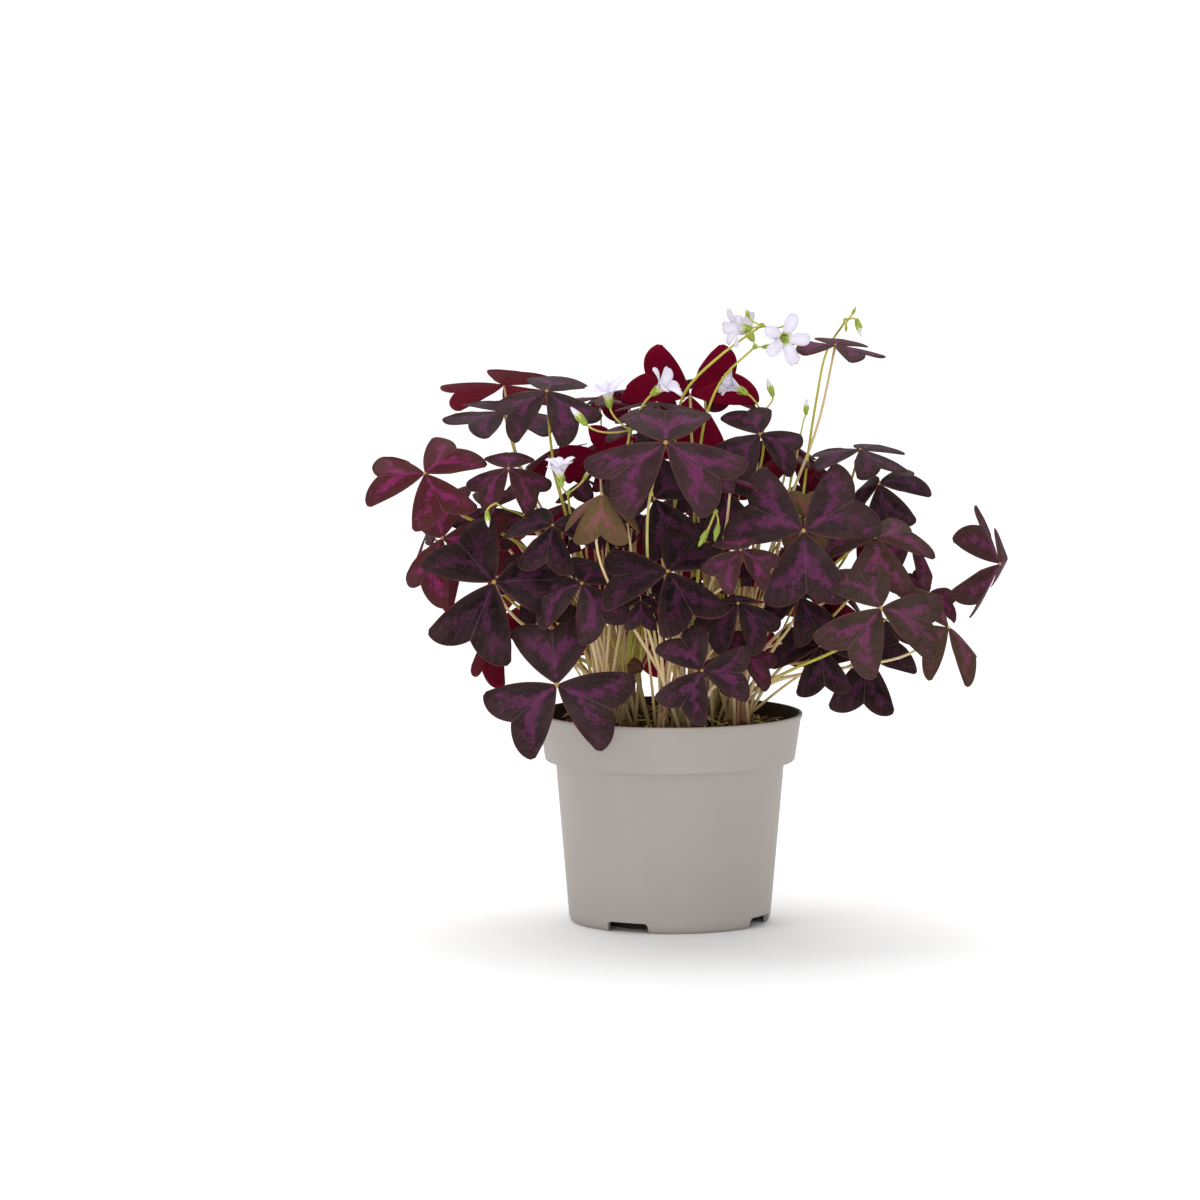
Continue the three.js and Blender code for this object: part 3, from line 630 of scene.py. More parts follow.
def leaflet_points(leaf, number, flat, phase, blade):
    """A flat leaflet's points bent to a leaf, with the lower face under the upper one."""
    across, out, depth = flat.T
    step = 1e-3
    here = bent(leaf, number, across, out, phase)
    along = bent(leaf, number, across, out + step, phase) - here
    over = bent(leaf, number, across + step, out, phase) - here
    normal = np.cross(along, over)
    normal /= np.linalg.norm(normal, axis=1, keepdims=True)
    if np.dot(normal.mean(0), leaf["normal"]) < 0:
        normal = -normal
    return here + normal * (depth * blade)[:, None]


def leaf_piece(name, members, pattern, seed, blade=BLADE):
    """One mesh of all the leaves of a node."""
    draw = random.Random(seed)
    heap = Heap()
    flat, faces, slots = pattern
    surface = np.column_stack([flat[:, 0] * 0.5 + 0.5, flat[:, 1]])
    for leaf in members:
        shifted = [(share, draw.uniform(-TONE_SPREAD, TONE_SPREAD)) for share in leaf["tone"]]
        shade = tuple(min(1, max(0, share + shift)) if share else 0 for share, shift in shifted)
        for number in range(3):
            points = leaflet_points(leaf, number, flat, draw.uniform(0, 6), blade)
            heap.add(points, faces, slots, shade, surface)
        axes = np.array([leaf["level"], leaf["rise"], leaf["normal"]])
        heap.add(HUB[0] * leaf["size"] @ axes + np.array(leaf["hub"]), HUB[1], 2, shade)
    return heap.piece(name, [LEAF_TOP, LEAF_UNDERSIDE, LEAF_HUB])


# %% The leaf pieces
leaf_pieces = []
for node in sorted({leaf["node"] for leaf in leaves}):
    members = [leaf for leaf in leaves if leaf["node"] == node]
    piece = leaf_piece(node.replace("leaf", "blades"), members, FINE_LEAFLET, node)
    leaf_pieces.append(settle(piece, "leaf", node))

# %% [markdown]
# ## Following the stalks of the solid model
#
# The stalks of a clump are three-sided bars in the solids. A finer stalk should run through the same
# places, so its middle line is read off the solid: from the three corners at one end of a bar, the next
# three corners are one step along it, and so on until it meets its rhizome.

# %% Reading a bar's middle line
SOLID_STALK = {"radius": 0.85, "blade": 0.6, "gap": 0.35}
RHIZOME = {"length": 24, "radius": 4.6}
SOIL = {"edge": 88, "mound": 2.5, "radius": 60}
CROWNS = {
    "clump_front_left": (-25, -20, 40),
    "clump_front": (3, -32, 0),
    "clump_front_right": (29, -18, -50),
    "clump_back_right": (21, 21, 60),
    "clump_back_left": (-20, 22, -30),
}


def welded(node):
    """A solid's mesh with its loose triangles joined, ready to walk along."""
    solid = bmesh.new()
    solid.from_mesh(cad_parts[node].data)
    bmesh.ops.remove_doubles(solid, verts=solid.verts, dist=2e-6)
    solid.verts.ensure_lookup_table()
    tree = KDTree(len(solid.verts))
    for vertex in solid.verts:
        tree.insert(vertex.co, vertex.index)
    tree.balance()
    return solid, tree


def middle_line(solid, tree, end, reach=1.1 * MM):
    """Points down the middle of the bar that ends at a place, in millimetres; none if no bar does."""
    ring = {solid.verts[index] for _, index, _ in tree.find_range(end * MM, reach)}
    seen = set()
    line = []
    while len(ring) == 3:
        line.append(sum((vertex.co for vertex in ring), Vector()) / 3 / MM)
        seen |= ring
        ring = {edge.other_vert(vertex) for vertex in ring for edge in vertex.link_edges} - seen
    return line


def smooth_line(points, count):
    """Points at even steps along a smooth curve through the given ones."""
    places = [Vector(point) for point in points]
    knots = [2 * places[0] - places[1], *places, 2 * places[-1] - places[-2]]
    dense = []
    for before, start, end, after in zip(knots, knots[1:], knots[2:], knots[3:]):
        for step in range(12):
            t = step / 12
            turn = (end - before) * t + (2 * before - 5 * start + 4 * end - after) * t * t
            dense.append(start + (turn + (3 * start - before - 3 * end + after) * t**3) / 2)
    dense.append(places[-1])
    steps = [(b - a).length for a, b in zip(dense, dense[1:])]
    along = np.concatenate([[0], np.cumsum(steps)])
    stations = np.linspace(0, along[-1], count)
    table = np.array(dense)
    return [Vector([np.interp(s, along, table[:, axis]) for axis in range(3)]) for s in stations]


def soil_height(x, y):
    return SOIL["edge"] + SOIL["mound"] * (1 - (math.hypot(x, y) / SOIL["radius"]) ** 2)


def on_soil(x, y, lift):
    """A place at a height above the soil, or below it."""
    return Vector((x, y, soil_height(x, y) + lift))


def root_on(clump, number):
    """Where a clump's next stalk leaves its rhizome; number is 1 for its first stalk."""
    x, y, turn = CROWNS[clump]
    share = ((number * 5) % 9) / 9 - 0.45
    return on_soil(x, y, 1) + compass(turn) * share * RHIZOME["length"] * 0.8


clump_solids = {name: welded(name) for name in CROWNS}
stalk_lines = {name: [] for name in CROWNS}
for leaf in leaves:
    tilt = math.tan(math.radians(leaf["droop"] + 0.5 * leaf["fold"]))
    drop = SOLID_STALK["blade"] + SOLID_STALK["gap"] + SOLID_STALK["radius"] * tilt
    for name, (solid, tree) in clump_solids.items():
        line = middle_line(solid, tree, leaf["hub"] - leaf["normal"] * drop)
        if line:
            root = root_on(name, len(stalk_lines[name]) + 1)
            clear = [point for point in line[1:] if (point - root).length > 12]
            stalk_lines[name].append([leaf["hub"] - leaf["normal"] * 0.3, *clear, root])
            break
    else:
        print("no stalk found for", leaf["node"])
print("stalks found:", {name: len(lines) for name, lines in stalk_lines.items()})


# %% [markdown]
# ## Stalks with a round skin
#
# A leaf stalk is a juicy round stem, thicker and paler at its foot, greener above, and often reddish
# where it meets the leaf. The curve tool gives a round skin to any number of lines at once, with a
# radius of its own at every point, and the result is then turned into a mesh.


# %% Sweeping and colouring stalks
def stalk_finish(recipe):
    greenness, redness, down = recipe.tone()
    fibres = recipe.noise(recipe.stretched(recipe.coordinates(), (1, 1, 0.12)), 900.0, 3)
    patches = recipe.mottled(45.0, 1.6)
    cream = recipe.blend(patches, (250, 214, 150), (255, 240, 204))
    green = recipe.blend(patches, (172, 172, 42), (216, 210, 96))
    red = recipe.blend(patches, (132, 62, 44), (178, 102, 76))
    upper = 1.0 - recipe.ramp(down, 0.45, 0.95)
    neck = 1.0 - recipe.ramp(down, 0.0, 0.14)
    skin = recipe.blend(greenness * (upper * 0.75 + 0.25), cream, green)
    skin = recipe.tint(skin, recipe.ramp(down, 0.72, 0.98), 0.84, (92, 76, 28))
    skin = recipe.tint(skin, recipe.math("MAXIMUM", redness, neck * 0.4), 0.8, red)
    skin = recipe.tint(skin, fibres, 0.16, (150, 118, 62))
    return recipe.surface(skin, 0.48, 0.25, fibres, 0.25, 0.0002, 0.15, (0.002, 0.0015, 0.0006))


STALK = material("stalk", stalk_finish)
STATIONS = 22


def swept(name, runs, tones, slot, *nodes):
    """Round bars along runs of (place, radius) in millimetres, as one piece with a tone at each point."""
    curve = bpy.data.curves.new(name, "CURVE")
    curve.dimensions = "3D"
    curve.bevel_depth = MM
    curve.bevel_resolution = 1
    for run in runs:
        spline = curve.splines.new("POLY")
        spline.points.add(len(run) - 1)
        for point, (place, radius) in zip(spline.points, run):
            point.co = (*(place * MM), 1)
            point.radius = radius
    only(linked(name, curve))
    bpy.ops.object.convert(target="MESH")
    piece = bpy.context.object
    piece.name = name
    sides = len(piece.data.vertices) // sum(len(run) for run in runs)
    toned(piece, [tone for run_tones in tones for tone in run_tones for _ in range(sides)])
    bpy.ops.object.mode_set(mode="EDIT")
    bpy.ops.mesh.select_all(action="SELECT")
    bpy.ops.mesh.fill_holes(sides=0)
    bpy.ops.mesh.normals_make_consistent(inside=False)
    bpy.ops.object.mode_set(mode="OBJECT")
    bpy.ops.object.shade_smooth()
    piece.data.materials.append(STALK)
    return settle(piece, slot, *nodes)


def tapered(places, start, end):
    """A run along places, with a radius that changes evenly."""
    return list(zip(places, np.linspace(start, end, len(places))))


def stalk_run(line, foot, top):
    """A stalk from its top end to its foot, with a small swelling where it carries its leaf."""
    run = []
    for step, place in enumerate(smooth_line(line, STATIONS)):
        share = step / (STATIONS - 1)
        swell = 0.18 * math.exp(-((share / 0.02) ** 2))
        run.append((place, top + (foot - top) * share**0.8 + swell))
    return run


def stalk_tones(draw):
    """Tones along a stalk from its top down: greenness, redness and how far down it is."""
    green = draw.choice([0.0, 0.1, 0.3, 0.6, 1.0])
    red = draw.choice([0.0, 0.08, 0.2, 0.32]) if draw.random() < 0.87 else 0.95
    return [(green, red, step / (STATIONS - 1)) for step in range(STATIONS)]


# %% The stalks of the leaves
for number, (clump, lines) in enumerate(stalk_lines.items()):
    draw = random.Random(40 + number)
    runs = [stalk_run(line, draw.uniform(0.85, 1.05), draw.uniform(0.45, 0.6)) for line in lines]
    tones = [stalk_tones(draw) for _ in runs]
    swept(clump.replace("clump", "stalks"), runs, tones, "stalk", clump)


# %% [markdown]
# ## Rhizomes and young growth
#
# Each clump grows from a short rhizome wrapped in brown scales, half sunk in the soil. Between the
# full-grown leaves it sends up many thinner stalks: young ones whose leaflets still hang folded like a
# closed umbrella, hidden under the dome. They make the dense pale fan that fills the mouth of the pot.

# %% One scale, and the rhizomes that wear it
def scale_point(across, out):
    """A thin pointed scale that hugs a round stem: its foot at the origin, its tip along +Z."""
    width = 2.4 * math.sin(math.pi * (0.18 + 0.82 * out) ** 0.8) + 0.05
    return across * width, 0.5 * out**2 - 0.35 * across**2 * width, 4.6 * out


def core_point(x, y, z):
    wobble = 1 + 0.08 * math.sin(5 * z + 2 * x) * math.cos(3 * y)
    slim = RHIZOME["radius"] * 0.86 * wobble
    return z * RHIZOME["length"] / 2, x * slim, y * slim


def bark_brown(recipe):
    paleness, _, _ = recipe.tone()
    fibres = recipe.noise(recipe.stretched(recipe.coordinates(), (1, 1, 0.3)), 700.0, 5, 0.7)
    patches = recipe.mottled(160.0, 2.4)
    dark = recipe.blend(patches, (36, 21, 12), (78, 49, 28))
    pale = recipe.blend(patches, (110, 74, 46), (156, 116, 76))
    skin = recipe.tint(recipe.blend(paleness, dark, pale), fibres, 0.35, (36, 22, 14))
    return recipe.surface(skin, 0.85, 0.25, fibres, 0.7, 0.0004)


SCALE = grid_shape(4, 5, 0.35, scale_point)
RHIZOME_CORE = ball_shape(16, 12, core_point)
BARK = material("brown_scales", bark_brown)

for number, (clump, (x, y, turn)) in enumerate(CROWNS.items()):
    draw = random.Random(70 + number)
    base = Matrix.Translation(on_soil(x, y, 0)) @ Matrix.Rotation(math.radians(turn), 4, "Z")
    heap = Heap()
    heap.copy(RHIZOME_CORE, base, tone=(0.1, 0, 0))
    for row in range(9):
        along = (row - 4.2) * RHIZOME["length"] / 10
        radius = RHIZOME["radius"] * math.sqrt(max(0.1, 1 - (along / (RHIZOME["length"] / 2)) ** 2)) * 0.82
        for step in range(5):
            angle = math.radians(72 * step + 36 * (row % 2) + draw.uniform(-12, 12))
            if math.sin(angle) < -0.35:
                continue
            out = Vector((0, math.cos(angle), math.sin(angle)))
            spot = out * radius + Vector((along + draw.uniform(-0.5, 0.5), 0, 0))
            ahead = out * draw.uniform(0.12, 0.4) + Vector((1, 0, 0))
            basis = Matrix((ahead.cross(out).normalized(), out, ahead.normalized())).transposed().to_4x4()
            fit = base @ Matrix.Translation(spot) @ basis @ Matrix.Scale(draw.uniform(0.75, 1.1), 4)
            heap.copy(SCALE, fit, tone=(draw.uniform(0.1, 0.9), 0, 0))
    settle(heap.piece(clump.replace("clump", "rhizome"), [BARK]), "stalk", clump)

# %% Young stalks and the small leaves on them
SMALL_LEAVES = [
    ["young", -13, -35, 228, -90, 12, 180, 18, 8, 10, PLAIN],
    ["young", -13, -58, 152, -90, 40, -90, 15, 20, 15, PLAIN],
    ["young", -32, 10, 237, -90, 2, 180, 18, 0, 8, WARM],
    ["young", 117, -5, 150, -60, 50, -20, 18, 10, 10, WARM],
    ["young", 60, -46, 187, -92, 70, 90, 16, 8, 14, OLIVE],
]
INNER = {"count": 16, "low": 178, "high": 212, "room": 8, "apart": 22, "tries": 2000}
YOUNG = {"count": 105, "low": 142, "high": 186, "spread": 66, "room": 7, "tries": 1600, "blade": 0.35}


def blades_tree():
    """All the blades as one body that a point can be tested against."""
    corners, faces = [], []
    for piece in leaf_pieces:
        start = len(corners)
        corners += [vertex.co / MM for vertex in piece.data.vertices]
        faces += [tuple(start + corner for corner in face.vertices) for face in piece.data.polygons]
    return BVHTree.FromPolygons(corners, faces)


def clear_of_blades(line, count, room):
    """Whether a stalk keeps clear of all the blades, apart from its own top."""
    return all(blades.find_nearest(place, room)[0] is None for place in smooth_line(line, count)[1:])


def bow(draw, tip, low, high):
    """A stalk that leaves the nearest rhizome steeply, swings outwards and then turns up to its leaf."""
    clump = min(CROWNS, key=lambda name: math.dist(CROWNS[name][:2], (0.4 * tip.x, 0.4 * tip.y)))
    crown_x, crown_y, turn = CROWNS[clump]
    root = Vector((crown_x, crown_y, 0)) + compass(turn) * draw.uniform(-10, 10)
    root += compass(turn + 90) * draw.uniform(-5, 5)
    root = on_soil(root.x, root.y, -2)
    sag = draw.uniform(low, high)
    out = Vector((tip.x - root.x, tip.y - root.y, 0))
    rise = Vector((0, 0, tip.z - root.z))
    return [tip, root + out * (0.64 + sag) + rise * 0.7, root + out * (0.26 + sag) + rise * 0.34, root]


def ways_up(draw, tip, count):
    """Stalks to a tip: all that were drawn, and those of them that clear the blades."""
    ways = [bow(draw, tip, -0.1, 0.3) for _ in range(count)]
    return ways, [way for way in ways if clear_of_blades(way, 30, 1.2)]


def drawn_leaf(draw, tip, size, facing, lean, droop, fold):
    """A leaf at a tip that faces and leans at random between two values."""
    row = ["young", *tip, draw.uniform(*facing), draw.uniform(*lean), draw.uniform(0, 120), size, droop, fold]
    return leaf_of([*row, draw.choice([PLAIN, DARK, WARM])])


blades = blades_tree()
draw = random.Random(11)
young_leaves = [leaf_of(row) for row in SMALL_LEAVES]
young_lines = []
for leaf in young_leaves:
    ways, good = ways_up(draw, leaf["hub"] - leaf["normal"] * 0.3, 40)
    young_lines.append((good or ways)[0])
tries = 0
while len(young_lines) < len(SMALL_LEAVES) + INNER["count"] and tries < INNER["tries"]:
    tries += 1
    tip = Vector((draw.uniform(-62, 70), draw.uniform(0, 58), draw.uniform(INNER["low"], INNER["high"])))
    size = draw.uniform(15, 20)
    crowded = any((tip - leaf["hub"]).length < INNER["apart"] for leaf in young_leaves)
    if crowded or blades.find_nearest(tip, INNER["room"])[0] is not None:
        continue
    leaf = drawn_leaf(draw, tip, size, (60, 120), (5, 25), 26, 18)
    edge = [bent(leaf, number, np.array([-0.7, 0.0, 0.7]), np.ones(3), 0) for number in range(3)]
    if any(blades.find_nearest(Vector(place), 3)[0] is not None for place in np.vstack(edge)):
        continue
    _, good = ways_up(draw, tip, 12)
    if good:
        young_lines.append(good[0])
        young_leaves.append(leaf)
print("leaves inside the dome:", len(young_leaves) - len(SMALL_LEAVES), "after", tries, "tries")
tries = 0
while len(young_lines) < YOUNG["count"] and tries < YOUNG["tries"]:
    tries += 1
    angle = draw.uniform(0, 360) if tries % 2 else draw.uniform(200, 340)
    reach = YOUNG["spread"] * draw.uniform(0.1, 1) ** 0.7
    tip = compass(angle) * reach + Vector((0, 0, draw.uniform(YOUNG["low"], YOUNG["high"])))
    line = bow(draw, tip, -0.12, 0.28)
    if clear_of_blades(line, 24, 1.6) and blades.find_nearest(tip, YOUNG["room"])[0] is None:
        young_lines.append(line)
        young_leaves.append(drawn_leaf(draw, tip, draw.uniform(6, 10), (0, 360), (0, 20), 74, 34))
print("young stalks:", len(young_lines), "after", tries, "tries")

runs = [stalk_run(line, draw.uniform(0.5, 1.2), draw.uniform(0.32, 0.5)) for line in young_lines]
swept("young_stalks", runs, [stalk_tones(draw) for _ in runs], "stalk")
settle(leaf_piece("young_blades", young_leaves, SMALL_LEAFLET, "young", YOUNG["blade"]), "leaf")


# %% [markdown]
# ## Flowers
#
# A flower stalk ends in an umbel: a few thin pedicels with nodding buds and open funnels of five white
# petals. A petal is narrow in the throat, then flares into a blunt lobe. It is shaped once, and each
# flower gets five copies with a slightly different bend. Five green sepals hold them from below, and
# short yellow-green stamens stand in the throat.

# %% Flower materials
def petal_finish(recipe):
    surface = recipe.coordinates("UV")
    x, out, _ = recipe.split(surface)
    veins = recipe.noise(recipe.stretched(surface, (26, 1.2, 1)), 1.0, 2)
    skin = recipe.blend(recipe.mottled(200.0, 1.4), (226, 220, 236), (248, 246, 252))
    skin = recipe.tint(skin, recipe.ramp(veins, 0.52, 0.68), 0.35, (196, 178, 222))
    skin = recipe.tint(skin, abs(x * 2.0 - 1.0), 0.3, (190, 176, 214))
    skin = recipe.blend(1.0 - recipe.ramp(out, 0.18, 0.46), skin, (206, 216, 112))
    return recipe.surface(skin, 0.5, 0.3, veins, 0.3, 0.0002, 0.25, (0.001, 0.001, 0.001))


def sepal_finish(recipe):
    fibres = recipe.noise(recipe.coordinates(), 900.0, 3)
    green = recipe.blend(recipe.mottled(260.0, 2.0), (112, 138, 30), (170, 190, 74))
    skin = recipe.tint(green, fibres, 0.3, (200, 206, 120))
    return recipe.surface(skin, 0.5, 0.35, fibres, 0.3, 0.0002, 0.15, (0.001, 0.001, 0.0004))


PETAL = material("petal", petal_finish)
SEPAL = material("sepal_green", sepal_finish)
print("flower materials:", PETAL.name, SEPAL.name)

# %% One petal, one sepal, one bud
BLOOM = {
    "petals": 5, "foot": 0.7, "throat": 2.3, "depth": 5.2, "petal": 11.4, "half_width": 3.1, "widest": 0.74,
}


def petal_point(across, out):
    """A petal that starts at the foot of the funnel and flares away along +Y."""
    throat, depth, foot, widest = (BLOOM[key] for key in ("throat", "depth", "foot", "widest"))
    inner = depth / (depth + BLOOM["petal"] - throat)
    if out < inner:
        reach, rise = foot + (throat - foot) * out / inner, depth * out / inner
    else:
        share = (out - inner) / (1 - inner)
        reach, rise = throat + (BLOOM["petal"] - throat) * share, depth + 2.6 * math.sin(share * 2.2)
    if out < widest:
        width = 0.5 + (BLOOM["half_width"] - 0.5) * math.sin(math.pi / 2 * out / widest) ** 1.4
    else:
        width = BLOOM["half_width"] * math.sqrt(max(0.02, 1 - ((out - widest) / (1.02 - widest)) ** 2.4))
    return across * width, reach, rise + 0.5 * across**2 * out


def sepal_point(across, out):
    width = 0.85 * math.sin(math.pi * (0.25 + 0.75 * out) ** 0.85) + 0.05
    return across * width, 0.55 + 1.35 * math.sin(math.pi * 0.5 * out) - 0.25 * across**2, 4.2 * out - 0.4


def bud_point(x, y, z):
    """Furled petals: a twisted spindle along +Z."""
    way = math.atan2(y, x)
    reach = math.hypot(x, y) * 1.3 * (1 + 0.1 * math.cos(5 * way)) * (1 - 0.34 * z)
    return reach * math.cos(way + 0.7 * z), reach * math.sin(way + 0.7 * z), 3.9 + 4.3 * z


def drop_shape(length, radius):
    return ball_shape(8, 6, lambda x, y, z: (x * radius, y * radius, z * length))


def petal_surface(columns, rows):
    """The UV places of a petal, which has the points of its grid twice."""
    places = [(x / columns, y / rows) for y in range(rows + 1) for x in range(columns + 1)]
    return np.array(places * 2)


PETAL_SHAPE = grid_shape(7, 12, 0.22, petal_point)
PETAL_UV = petal_surface(7, 12)
SEPAL_SHAPE = grid_shape(4, 6, 0.25, sepal_point)
BUD_SHAPE = ball_shape(15, 12, bud_point)
BUD_UV = np.column_stack([np.full(len(BUD_SHAPE[0]), 0.5), np.clip((BUD_SHAPE[0][:, 2] - 1) / 11, 0, 1)])
RECEPTACLE = drop_shape(1.3, 1.25)
ANTHER = drop_shape(0.5, 0.28)
FILAMENT = drop_shape(1.7, 0.12)
print("petal faces:", len(PETAL_SHAPE[1]))

# %% [markdown]
# ## The umbels
#
# Each row of the table below is one flower stalk of the solid model: where its foot is, where its
# umbel forks, and where each flower or bud is, which way it opens, and last how far a flower's petals
# are lifted or how large a bud is. Its stem is read off the solid as the leaf stalks were.

# %% The umbels
UMBELS = {
    "spray_top": ((4, 2), (41, -14, 271), [
        ("bloom", (36, -17, 270), (-0.9, -0.4, -0.05), 0.3),
        ("bloom", (50, -17, 266), (0.2, -1, -0.1), 0.05),
        ("bud", (35, -13, 275), (-0.4, 0, 1), 0.6),
        ("bud", (52, -10, 272), (0.5, 0.2, 0.9), 0.6),
    ]),
    "spray_top_low": ((8, -2), (38, -8, 261), [
        ("bloom", (37, -4, 264), (-0.4, 0.6, 0.6), 0.4),
        ("bud", (42, -9, 261), (1, -0.1, 0.1), 0.75),
    ]),
    "spray_tall": ((30, 4), (79, 5, 272), [
        ("pod", (82, 5, 275), (0.5, 0, 1), 0.45),
        ("bud", (84, 3, 272), (0.3, -0.2, -1), 0.95),
        ("pod", (79, -1, 270), (0, -0.5, -1), 0.4),
    ]),
    "spray_right": ((18, -4), (41, -1, 231), [
        ("bloom", (34, -6, 240), (-0.85, -0.3, 0.5), 0.55),
        ("bud", (46, 0, 239), (-0.35, 0, 1), 0.95),
    ]),
    "spray_middle": ((-4, -6), (-18, -40, 226), [
        ("bloom", (-8, -40, 242), (0.7, -0.35, 0.6), 0.35),
        ("bloom", (-27, -44, 237), (-0.15, -0.3, 1), 0.3),
        ("bud", (-38, -50, 230), (-0.7, -0.1, 0.8), 1.15),
    ]),
    "spray_left": ((-14, -8), (-45, -64, 200), [
        ("bloom", (-48, -68, 204), (-0.1, -0.1, 1), 0.42),
        ("bud", (-38, -60, 206), (0.6, 0, 1), 0.6),
    ]),
    "spray_front": ((10, -16), (20, -66, 192), [
        ("pod", (21, -71, 186), (-0.2, -0.1, -1), 0.85),
        ("pod", (16, -68, 183), (-0.5, -0.1, -0.9), 0.9),
    ]),
}


def pedicel(fork, at, aim):
    """A thin curved stalk from the fork to the foot of a flower, entering it along its aim."""
    before = at - aim * 0.4 * (at - fork).length
    steps = [step / 8 for step in range(9)]
    return [(fork * (1 - t) ** 2 + before * 2 * t * (1 - t) + at * t**2, 0.42 + 0.12 * t**3) for t in steps]


def add_bloom(heap, draw, at, aim, lift):
    """A flower in five petals; lift raises them from flat to a narrow funnel, in radians."""
    base = Matrix.Translation(at) @ towards(aim, draw.uniform(0, 1.2))
    heap.copy(RECEPTACLE, base @ Matrix.Translation((0, 0, 0.2)), 1)
    for number in range(BLOOM["petals"]):
        turn = 2 * math.pi / BLOOM["petals"] * number
        nod = Matrix.Rotation(lift + draw.uniform(-0.16, 0.12), 4, "X")
        skew = Matrix.Rotation(turn + draw.uniform(-0.1, 0.1), 4, "Z")
        heap.copy(PETAL_SHAPE, base @ skew @ nod @ Matrix.Scale(draw.uniform(0.9, 1.04), 4), uv=PETAL_UV)
        heap.copy(SEPAL_SHAPE, base @ Matrix.Rotation(turn + math.pi / 5, 4, "Z"), 1)
        stamen = base @ Matrix.Rotation(turn, 4, "Z") @ Matrix.Translation((0, 0.75, 3.6))
        heap.copy(FILAMENT, stamen)
        heap.copy(ANTHER, stamen @ Matrix.Translation((0, 0.1, 1.8)))


def add_bud(heap, draw, at, aim, size, slot=0):
    """A bud in its sepals; with the green slot it is a ripening pod."""
    base = Matrix.Translation(at) @ towards(aim, draw.uniform(0, 1.2)) @ Matrix.Scale(size, 4)
    heap.copy(RECEPTACLE, base, 1)
    heap.copy(BUD_SHAPE, base, slot, uv=BUD_UV)
    hug = Matrix.Rotation(0.12, 4, "X")
    for number in range(5):
        heap.copy(SEPAL_SHAPE, base @ Matrix.Rotation(2 * math.pi / 5 * number, 4, "Z") @ hug, 1)


for number, (name, (foot, fork, flowers)) in enumerate(UMBELS.items()):
    draw = random.Random(90 + number)
    solid, tree = welded(name)
    fork = Vector(fork)
    line = [point for point in middle_line(solid, tree, on_soil(*foot, -4)) if (point - fork).length > 6]
    runs = [tapered(smooth_line([*line, fork], 40), 0.95, 0.55)]
    heap = Heap()
    for kind, at, aim, trait in flowers:
        at, aim = Vector(at), Vector(aim).normalized()
        runs.append(pedicel(fork, at, aim))
        if kind == "bloom":
            add_bloom(heap, draw, at, aim, trait)
        else:
            add_bud(heap, draw, at, aim, trait, 1 if kind == "pod" else 0)
    heap.copy(RECEPTACLE, Matrix.Translation(fork), 1)
    settle(heap.piece(name.replace("spray", "flowers"), [PETAL, SEPAL]), "spray", name)
    tones = [[(0.9, 0.05, 0.25)] * len(run) for run in runs]
    tones[0] = [(1.0, 0.0, down) for down in np.linspace(0.9, 0.1, len(runs[0]))]
    swept(name.replace("spray", "scape"), runs, tones, "spray", name)

# %% [markdown]
# ## Late buds and old stalks
#
# Two thin stalks with a single bud stand beside the umbels. At the soil there is what every older plant
# has: a dry knob of an old rhizome on its stub, and a litter of withered stalks that lie on the peat.

# %% Late buds
LATE_BUDS = [
    # foot, bend and top of the stalk, then the bud's place and aim
    [(24, 2), (52, -2, 190), (60, -5, 228), (61, -5, 231), (0.05, 0, 1)],
    [(-22, -14), (-56, -4, 172), (-77, -59, 195), (-81, -61, 191), (0.1, 0, -1)],
]
draw = random.Random(301)
runs = []
heap = Heap()
for foot, bend, top, at, aim in LATE_BUDS:
    top, at, aim = Vector(top), Vector(at), Vector(aim).normalized()
    runs.append(tapered(smooth_line([on_soil(*foot, -3), Vector(bend), top], 30), 0.75, 0.4))
    runs.append(pedicel(top, at, aim))
    add_bud(heap, draw, at, aim, 0.8)
settle(heap.piece("late_buds", [PETAL, SEPAL]), "spray")
swept("late_stalks", runs, [[(0.95, 0.0, 0.3)] * len(run) for run in runs], "spray")

# %% An old knob and withered stalks
KNOB = {"at": (-15.5, -38, 120), "radius": 3.4, "foot": (-8, -30), "neck": (-12, -35, 104), "stub": 1.1}
WITHERED = {"count": 130, "spread": 50, "edge": 55.5}


def knob_point(x, y, z):
    fuzz = 1 + draw.uniform(-0.09, 0.13) + 0.1 * math.sin(4 * x + 3 * z)
    return (Vector(KNOB["at"]) + Vector((x, y, z)) * KNOB["radius"] * fuzz) * MM


bpy.ops.mesh.primitive_ico_sphere_add(subdivisions=4, radius=1)
knob = moulded(bpy.context.object, knob_point)
knob.name = "old_knob"
toned(knob, [(draw.uniform(0, 0.5), 0, 0) for _ in knob.data.vertices])
knob.data.materials.append(BARK)
settle(knob, "stalk")

stub = [on_soil(*KNOB["foot"], -2), Vector(KNOB["neck"]), Vector(KNOB["at"])]
runs = [tapered(smooth_line(stub, 16), KNOB["stub"], KNOB["stub"])]
for _ in range(WITHERED["count"]):
    middle = compass(draw.uniform(0, 360)) * WITHERED["spread"] * math.sqrt(draw.random())
    middle = on_soil(middle.x, middle.y, draw.uniform(0.6, 3.2))
    half = compass(draw.uniform(0, 360)) * draw.uniform(2.5, 7.5)
    rise = Vector((0, 0, draw.uniform(-0.5, 3.0)))
    hump = Vector((0, 0, draw.uniform(0, 1.5)))
    line = smooth_line([middle - half - rise * 0.3, middle + hump, middle + half + rise], 9)
    if max(math.hypot(place.x, place.y) for place in line) > WITHERED["edge"]:
        continue
    thick = draw.uniform(0.25, 0.6)
    runs.append(tapered(line, thick, 0.6 * thick))
DRY = ([0.2, 0.9, 1.0], [0.0, 0.0, 0.6], [0.5, 0.97])
swept("withered_stalks", runs, [[tuple(map(draw.choice, DRY))] * len(run) for run in runs], "stalk")

